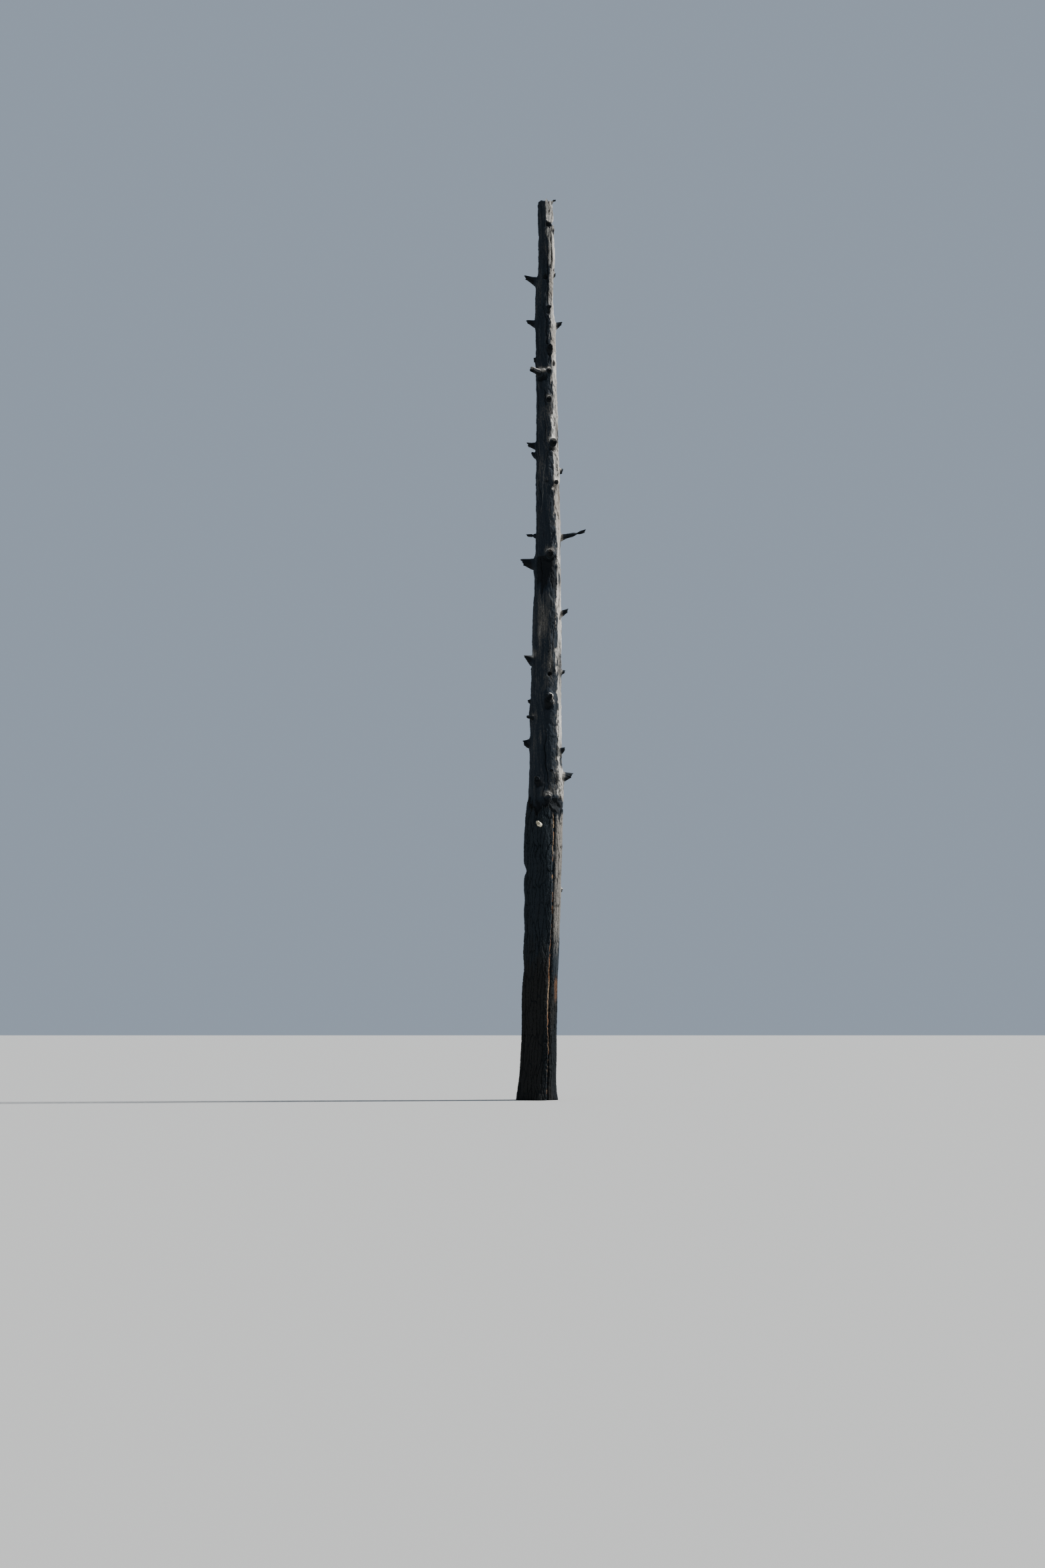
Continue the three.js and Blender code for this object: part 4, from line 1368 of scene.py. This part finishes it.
def stub_char_and_shade(stub, front, pale, around, share, out):
    """How dark a stub is: more towards its end, partly char and partly painted shade, with painted shade
    below and a painted highlight on its lit side.
    """
    clear = out * stub.reach - END_DARKENING_CLEAR * stub.root
    length = min(END_DARKENING_SHARE * stub.reach, END_DARKENING_LONGEST)
    char = lerp(*ROOT_CHAR_AND_SHADE, front) + lerp(*END_CHAR_AND_SHADE, front) * smooth(clear, 0, length)
    rim = smooth(share, *PAINTED_LIGHT_RIM) if stub.name in PAINTED_LIGHT_TURNS else 1
    # Painted shade on the underside.
    below = smooth(np.sin(around), *UNDERSIDE_SHADE_SINES) * smooth(out, 0, UNDERSIDE_SHADE_SHARE)
    return char - pale * rim + UNDERSIDE_SHADE * below


def stub_piece(stub, finish):
    """A branch stub with fibres, splits and a splintered end, its root sunk in the trunk."""
    angle = to_angle(stub.azimuth)
    rise = math.radians(stub.rise)
    along = direction(stub.azimuth, stub.rise)
    side = np.array((-math.sin(angle), math.cos(angle), 0))
    above = np.cross(along, side)
    length = (stub.reach + ROOT_SINK) / math.cos(rise)
    sunk = ROOT_SINK / (stub.reach + ROOT_SINK)
    root_height = np.array([stub.height])
    wood = along_trunk(root_height, RADIUS)
    start = trunk_point(np.array([angle]), root_height, wood - ROOT_SINK)[:, 0]
    start[2] -= ROOT_SINK * math.tan(rise)
    turn = stub.height / UNEVEN_TURN
    seed = int(1000 * stub.height)
    fibres, lumps, shards, grit = [Ripple(seed + step, *cells, length=1) for step, *cells in STUB_NOISE]
    splits = np.random.default_rng(seed + SPLIT_STEP).uniform(0, 1, (SPLIT_COUNT, 3))
    peak = lerp(*END_PEAKS, splits[0, 0]) * math.pi
    sharp = float(lerp(BLUNT_SHARE, 1, smooth(stub.reach, *BLUNT_REACHES)))
    spike = END_SPIKE * min(1, END_SPIKE_TIP / stub.tip)
    oval, long_side = OVAL_STUBS.get(stub.name, (0, 0))
    front = float(soot_and_shade(angle, stub.height))
    painted_light_turn = math.radians(PAINTED_LIGHT_TURNS.get(stub.name, 0))

    def rule(x, y, z):
        around = np.arctan2(y, x)
        share = np.hypot(x, y)
        out = np.clip((z - sunk) / (1 - sunk), 0, 1)
        # Painted highlight on the stub's lit side.
        pale = PAINTED_LIGHT_STUBS.get(stub.name, 0) * smooth(np.sin(around + painted_light_turn), *PAINTED_LIGHT_SINES)
        below = 1 + FLARE_BELOW * np.maximum(0, -np.sin(around))
        flare = FLARE_SHARE * below * bump(out * stub.reach / (FLARE_LENGTH * stub.root))
        uneven = 1 + UNEVEN_OVAL * np.sin(2 * around + turn) + UNEVEN_LOBES * np.sin(3 * around + 2 * turn)
        uneven = uneven + oval * np.cos(2 * (around - math.radians(long_side)))
        neck = 1 - stub.neck_depth * bump((out - stub.neck_at) / NECK_LENGTH)
        body = lerp(stub.root, stub.tip, out) * uneven * neck
        relief = STUB_FIBRES * fibres(around, length * z) + STUB_LUMPS * lumps(around, length * z)
        relief = relief + STUB_GRIT * grit(around, length * z)
        hollow = np.zeros_like(z)
        for where, wide, deep in splits:
            across = angle_between(around, TURN * where + SPLIT_TWIST * out) / lerp(*SPLIT_WIDTHS, wide)
            hollow += lerp(*SPLIT_DEPTHS, deep) * bump(across) * smooth(out, *SPLIT_OPENS)
        radius = share * (body * (1 + relief - hollow) + flare * stub.root)
        slant = END_SLANT * np.sin(around) + END_LOBES * np.sin(3 * around + turn)
        slant = sharp * (slant + spike * bump(angle_between(around, peak) / END_SPIKE_WIDTH))
        ragged = slant * smooth(share, *END_SLANT_SHARES) - END_HEART * (1 - share)
        ragged = ragged + END_SHARDS * shards(around, 0.5 * share) * smooth(share, 0, 0.5)
        ragged = ragged - WORN_RIM * pale * smooth(share, *WORN_SHARES)
        end = length * z + stub.tip * ragged * smooth(z, END_FROM, 1)
        place = start[:, None] + along[:, None] * end + side[:, None] * radius * np.cos(around)
        place = place + above[:, None] * radius * np.sin(around)
        place[2] += stub.curl * out * out
        heart = (z > END_FACE) * (1 - smooth(share, *END_HEART_EDGE))
        return place, {
            "grain": around_axis(stub.root * share, around, end + stub.height),
            # Painted shade, black in the splits and in the sunk heart of the end.
            "hollow": np.clip(SPLIT_BLACK * hollow + END_HEART_BLACK * heart, 0, 1),
            "char": stub_char_and_shade(stub, front, pale, around, share, out),
        }

    rows = max(STUB_LEAST_ROWS, round(length / STUB_CELL))
    columns = STUB_COLUMNS[1] if stub.root > THICK_ROOT else STUB_COLUMNS[0]
    piece = shaped(tube(columns, rows, STUB_RINGS), stub.name + "_wood", rule)
    return dressed(piece, stub.name, finish)


def bark_thickness(angle, height, mean):
    """How thick a plate is: lumpy, thicker at the ground, and thinner where it has flaked."""
    lumps = np.zeros_like(height)
    for size, count, up, start in BARK_LUMPS:
        lumps += size * np.sin(count * angle + up * height + start)
    thickness = mean * (1 + lumps) + BARK_FOOT_SWELL * np.exp(-height / BARK_FOOT_HEIGHT)
    add_bumps(thickness, angle, height, BARK_CHIPS, -1)
    return np.maximum(thickness, BARK_THINNEST)


def seam_edge(index, side, height):
    """The azimuth of one edge of a seam, which wanders as it goes up. The side is -1 or 1."""
    _, azimuth, width, _, _ = BARK_PLATES[index % len(BARK_PLATES)]
    lap = 360 * (index // len(BARK_PLATES))
    return azimuth + lap + waves(SEAM_WAVES, height, azimuth) + side * width / 2


def scales(across, up, seed):
    """Irregular scales: how far a point is from the next border, and a number for its scale."""
    table = np.random.default_rng(seed).uniform(0, 1, (3, SCALE_TABLE, SCALE_TABLE))
    column = np.floor(across).astype(int)
    row = np.floor(up).astype(int)
    nearest = np.full(across.shape, np.inf)
    second = np.full(across.shape, np.inf)
    tone = np.zeros(across.shape)
    inner = 1 - 2 * SCALE_MARGIN
    for i in (-1, 0, 1):
        for j in (-1, 0, 1):
            c, r = (column + i) % SCALE_TABLE, (row + j) % SCALE_TABLE
            x = column + i + SCALE_MARGIN + inner * table[0, c, r] - across
            y = row + j + SCALE_MARGIN + inner * table[1, c, r] - up
            away = np.hypot(x, y)
            closer = away < nearest
            second = np.where(closer, nearest, np.minimum(second, away))
            tone = np.where(closer, table[2, c, r], tone)
            nearest = np.where(closer, away, nearest)
    return second - nearest, tone


def edge_jag(noise, x, row):
    """Fine jags across the top edge of a plate, read from noise."""
    size, parts, height = row
    return size * noise(x * TURN / parts, height)


def bark_char_and_shade(angle, height, y):
    """How dark the bark is: sooted and in painted shade in front, darkest at its top edge and near the
    ground, and with its patches, one of them painted shade.
    """
    char = BARK_CHAR + BARK_SOOT_AND_SHADE_CHAR * soot_and_shade(angle, height)
    char += BARK_TOP_CHAR * smooth(y, *BARK_TOP_BURNT)
    char += BARK_FOOT_CHAR * smooth(height, *BARK_FOOT_BURNT)
    add_bumps(char, angle, height, BARK_TONE_AND_SHADE_PATCHES)
    return char


def bark_piece(index, finish):
    """One bark plate: scales and fissures outside, broken walls at the seams and along its top."""
    name, _, _, top, mean = BARK_PLATES[index]
    broken_left, broken_right = BROKEN_EDGES[index]
    bark = settings().bark
    wide, tall = bark.scale_width, bark.scale_height
    sweep = math.radians(seam_edge(index + 1, -1, 0.0) - seam_edge(index, 1, 0.0))
    columns = round(sweep * BARK_RADIUS / BARK_CELL[0])
    rows = round(top / BARK_CELL[1])
    warp, fine, nibble, crumbs = [Ripple(seed + index, *cells) for seed, *cells in BARK_NOISE]

    def rule(x, y, z):
        jag = waves(TOP_JAGS, x, index) + edge_jag(fine, x, FINE_JAG) + edge_jag(crumbs, x, CRUMB_JAG)
        height = y * (top + BARK_TOP_JAG * jag)
        left = seam_edge(index, 1, height) + SEAM_NIBBLE * nibble(NIBBLE_LEFT, height)
        right = seam_edge(index + 1, -1, height) + SEAM_NIBBLE * nibble(NIBBLE_RIGHT, height)
        azimuth = lerp(left, right + BROKEN_LIP * broken_right, x)
        angle = to_angle(azimuth)
        border = np.minimum(x, 1 - x)
        bevel = np.where(x > 0.5, broken_right, broken_left)
        torn = np.interp(height, *BROKEN_BY_HEIGHT.T)
        whole_slope, broken_slope = EDGE_SLOPES
        slope = lerp(whole_slope, broken_slope / np.maximum(torn, EDGE_LEAST_TORN), bevel)
        edge = np.minimum(1, lerp(*EDGE_THICKNESS, bevel) + slope * border)
        edge = edge * np.minimum(1, TOP_THICKNESS + TOP_SLOPE * (1 - y))
        around = np.radians(azimuth) * BARK_RADIUS
        slip = SCALE_SLIP * warp(around, height)
        up = height + SCALE_SLIP_UP * slip
        gap, tone = scales((around + slip) / wide, up / tall, SCALE_SEED + index)
        small = (around - slip) / (SMALL_WIDTH * wide), (height - slip) / (SMALL_HEIGHT * tall)
        small_gap, small_tone = scales(*small, SMALL_SEED + index)
        fissure = 1 - smooth(gap, *FISSURE_GAPS)
        crack = 1 - smooth(small_gap, *CRACK_GAPS)
        relief = -bark.fissure_depth * fissure - CRACK_SHARE * bark.fissure_depth * crack
        relief = relief + SCALE_STEP * (tone - SCALE_MIDDLE) + SMALL_STEP * (small_tone - 0.5)
        relief = relief + FINE_RELIEF * fine(angle, height) + CRUMB_RELIEF * crumbs(angle, height)
        thickness = bark_thickness(angle, height, mean) * edge
        thickness = thickness + relief * np.minimum(1, mean / WHOLE_RELIEF_FROM)
        radius = trunk_radius(angle, height) + lerp(-BARK_SINK, np.maximum(thickness, BARK_SKIN), z)
        sides = 1 - smooth(border / torn, BROKEN_FROM * BROKEN_WIDTH, BROKEN_WIDTH)
        share = bevel * torn + BROKEN_RAGGED * nibble(NIBBLE_INSIDE, height)
        share = share + BROKEN_FINE * fine(angle, height)
        rust = np.zeros_like(height)
        add_bumps(rust, angle, height, RUSTY_PATCHES)
        return trunk_point(angle, height, radius), {
            # The fissure mark paints shade into the fissures and cracks.
            "fissure": np.clip(fissure + CRACK_DARK * crack, 0, 1),
            "tone": SCALE_TONE * tone + (1 - SCALE_TONE) * small_tone,
            "broken": sides * smooth(z, *BROKEN_WALLS) * smooth(share, *FRESH_SHARES),
            "rust": np.clip(rust, 0, 1),
            "char": bark_char_and_shade(angle, height, y),
        }

    piece = shaped(panel(columns, rows, WALL_ROWS), name + "_scales", rule)
    return dressed(piece, name, finish)


class DEADTREE_OT_trunk(bpy.types.Operator):
    """Build the bare trunk with its checks, knots and broken top"""

    bl_idname = "dead_tree.trunk"
    bl_label = "Build trunk"

    def execute(self, context):
        finish = wood_finish("weathered_wood", settings().wood, 1.0)
        for row in TRUNK_LENGTHS:
            trunk_piece(*row, finish)
        horn_piece(finish)
        return {"FINISHED"}


class DEADTREE_OT_stubs(bpy.types.Operator):
    """Build the broken branch stubs"""

    bl_idname = "dead_tree.stubs"
    bl_label = "Build branch stubs"

    def execute(self, context):
        wood = settings().wood
        weathered = wood_finish("stub_wood", wood, 0.0)
        fresh = fresh_finish("fresh_wood", wood.cream)
        for stub in ALL_STUBS:
            if stub.name == FRESH_STUB:
                stub_piece(stub, fresh)
            else:
                stub_piece(stub, weathered)
        return {"FINISHED"}


class DEADTREE_OT_bark(bpy.types.Operator):
    """Build the charred bark plates"""

    bl_idname = "dead_tree.bark"
    bl_label = "Build bark"

    def execute(self, context):
        finish = bark_finish("charred_bark", settings().bark)
        for index in range(len(BARK_PLATES)):
            bark_piece(index, finish)
        return {"FINISHED"}


class DEADTREE_OT_stage(bpy.types.Operator):
    """Set up the floor, the light and the camera"""

    bl_idname = "dead_tree.stage"
    bl_label = "Set up stage"

    def execute(self, context):
        stage = settings().stage
        bm = bmesh.new()
        bmesh.ops.create_grid(bm, x_segments=1, y_segments=1, size=FLOOR_HALF_WIDTH)
        mesh = bpy.data.meshes.new("floor")
        bm.to_mesh(mesh)
        bm.free()
        floor = bpy.data.objects.new("floor", mesh)
        context.scene.collection.objects.link(floor)
        finish = Finish("floor")
        sockets = {"Base Color": (*stage.floor, 1), "Roughness": FLOOR_ROUGHNESS}
        shader = finish.node("ShaderNodeBsdfPrincipled", sockets)
        finish.node("ShaderNodeOutputMaterial", {"Surface": shader})
        mesh.materials.append(finish.material)

        to_light = Vector(direction(stage.sun_azimuth, stage.sun_elevation))
        light = bpy.data.lights.new("main_light", "SUN")
        light.energy = stage.sun_strength
        light.angle = stage.sun_size
        lamp = bpy.data.objects.new("main_light", light)
        lamp.rotation_euler = to_light.to_track_quat("Z", "Y").to_euler()
        context.scene.collection.objects.link(lamp)

        world = bpy.data.worlds.new("fill")
        world.use_nodes = True
        world.node_tree.nodes["Background"].inputs["Color"].default_value = (*stage.fill, 1)
        context.scene.world = world

        camera = bpy.data.objects.new("camera", bpy.data.cameras.new("camera"))
        camera.data.lens = LENS
        camera.data.sensor_width = SENSOR
        camera.data.clip_end = 2 * FLOOR_HALF_WIDTH
        camera.location = CAMERA_PLACE
        camera.rotation_euler = (math.radians(90 + CAMERA_PITCH), 0, 0)
        context.scene.collection.objects.link(camera)
        context.scene.camera = camera
        return {"FINISHED"}


class DEADTREE_PT_panel(bpy.types.Panel):
    """Lists the parts of the tree and their settings"""

    bl_idname = "DEADTREE_PT_panel"
    bl_label = "Dead standing tree"
    bl_space_type = "VIEW_3D"
    bl_region_type = "UI"
    bl_category = "Dead tree"

    def draw(self, context):
        for group in (settings().wood, settings().bark, settings().stage):
            box = self.layout.box()
            for name in group.__annotations__:
                box.prop(group, name)
        for operator in OPERATORS:
            self.layout.operator(operator.bl_idname)


GROUPS = (WoodSettings, BarkSettings, StageSettings, TreeSettings)
OPERATORS = (DEADTREE_OT_stage, DEADTREE_OT_trunk, DEADTREE_OT_stubs, DEADTREE_OT_bark)


def register():
    for item in (*GROUPS, *OPERATORS, DEADTREE_PT_panel):
        bpy.utils.register_class(item)
    bpy.types.Scene.dead_tree = PointerProperty(type=TreeSettings)


def unregister():
    del bpy.types.Scene.dead_tree
    for item in reversed((*GROUPS, *OPERATORS, DEADTREE_PT_panel)):
        bpy.utils.unregister_class(item)


def main():
    register()
    bpy.ops.dead_tree.stage()
    bpy.ops.dead_tree.trunk()
    bpy.ops.dead_tree.stubs()
    bpy.ops.dead_tree.bark()


if __name__ == "__main__":
    main()
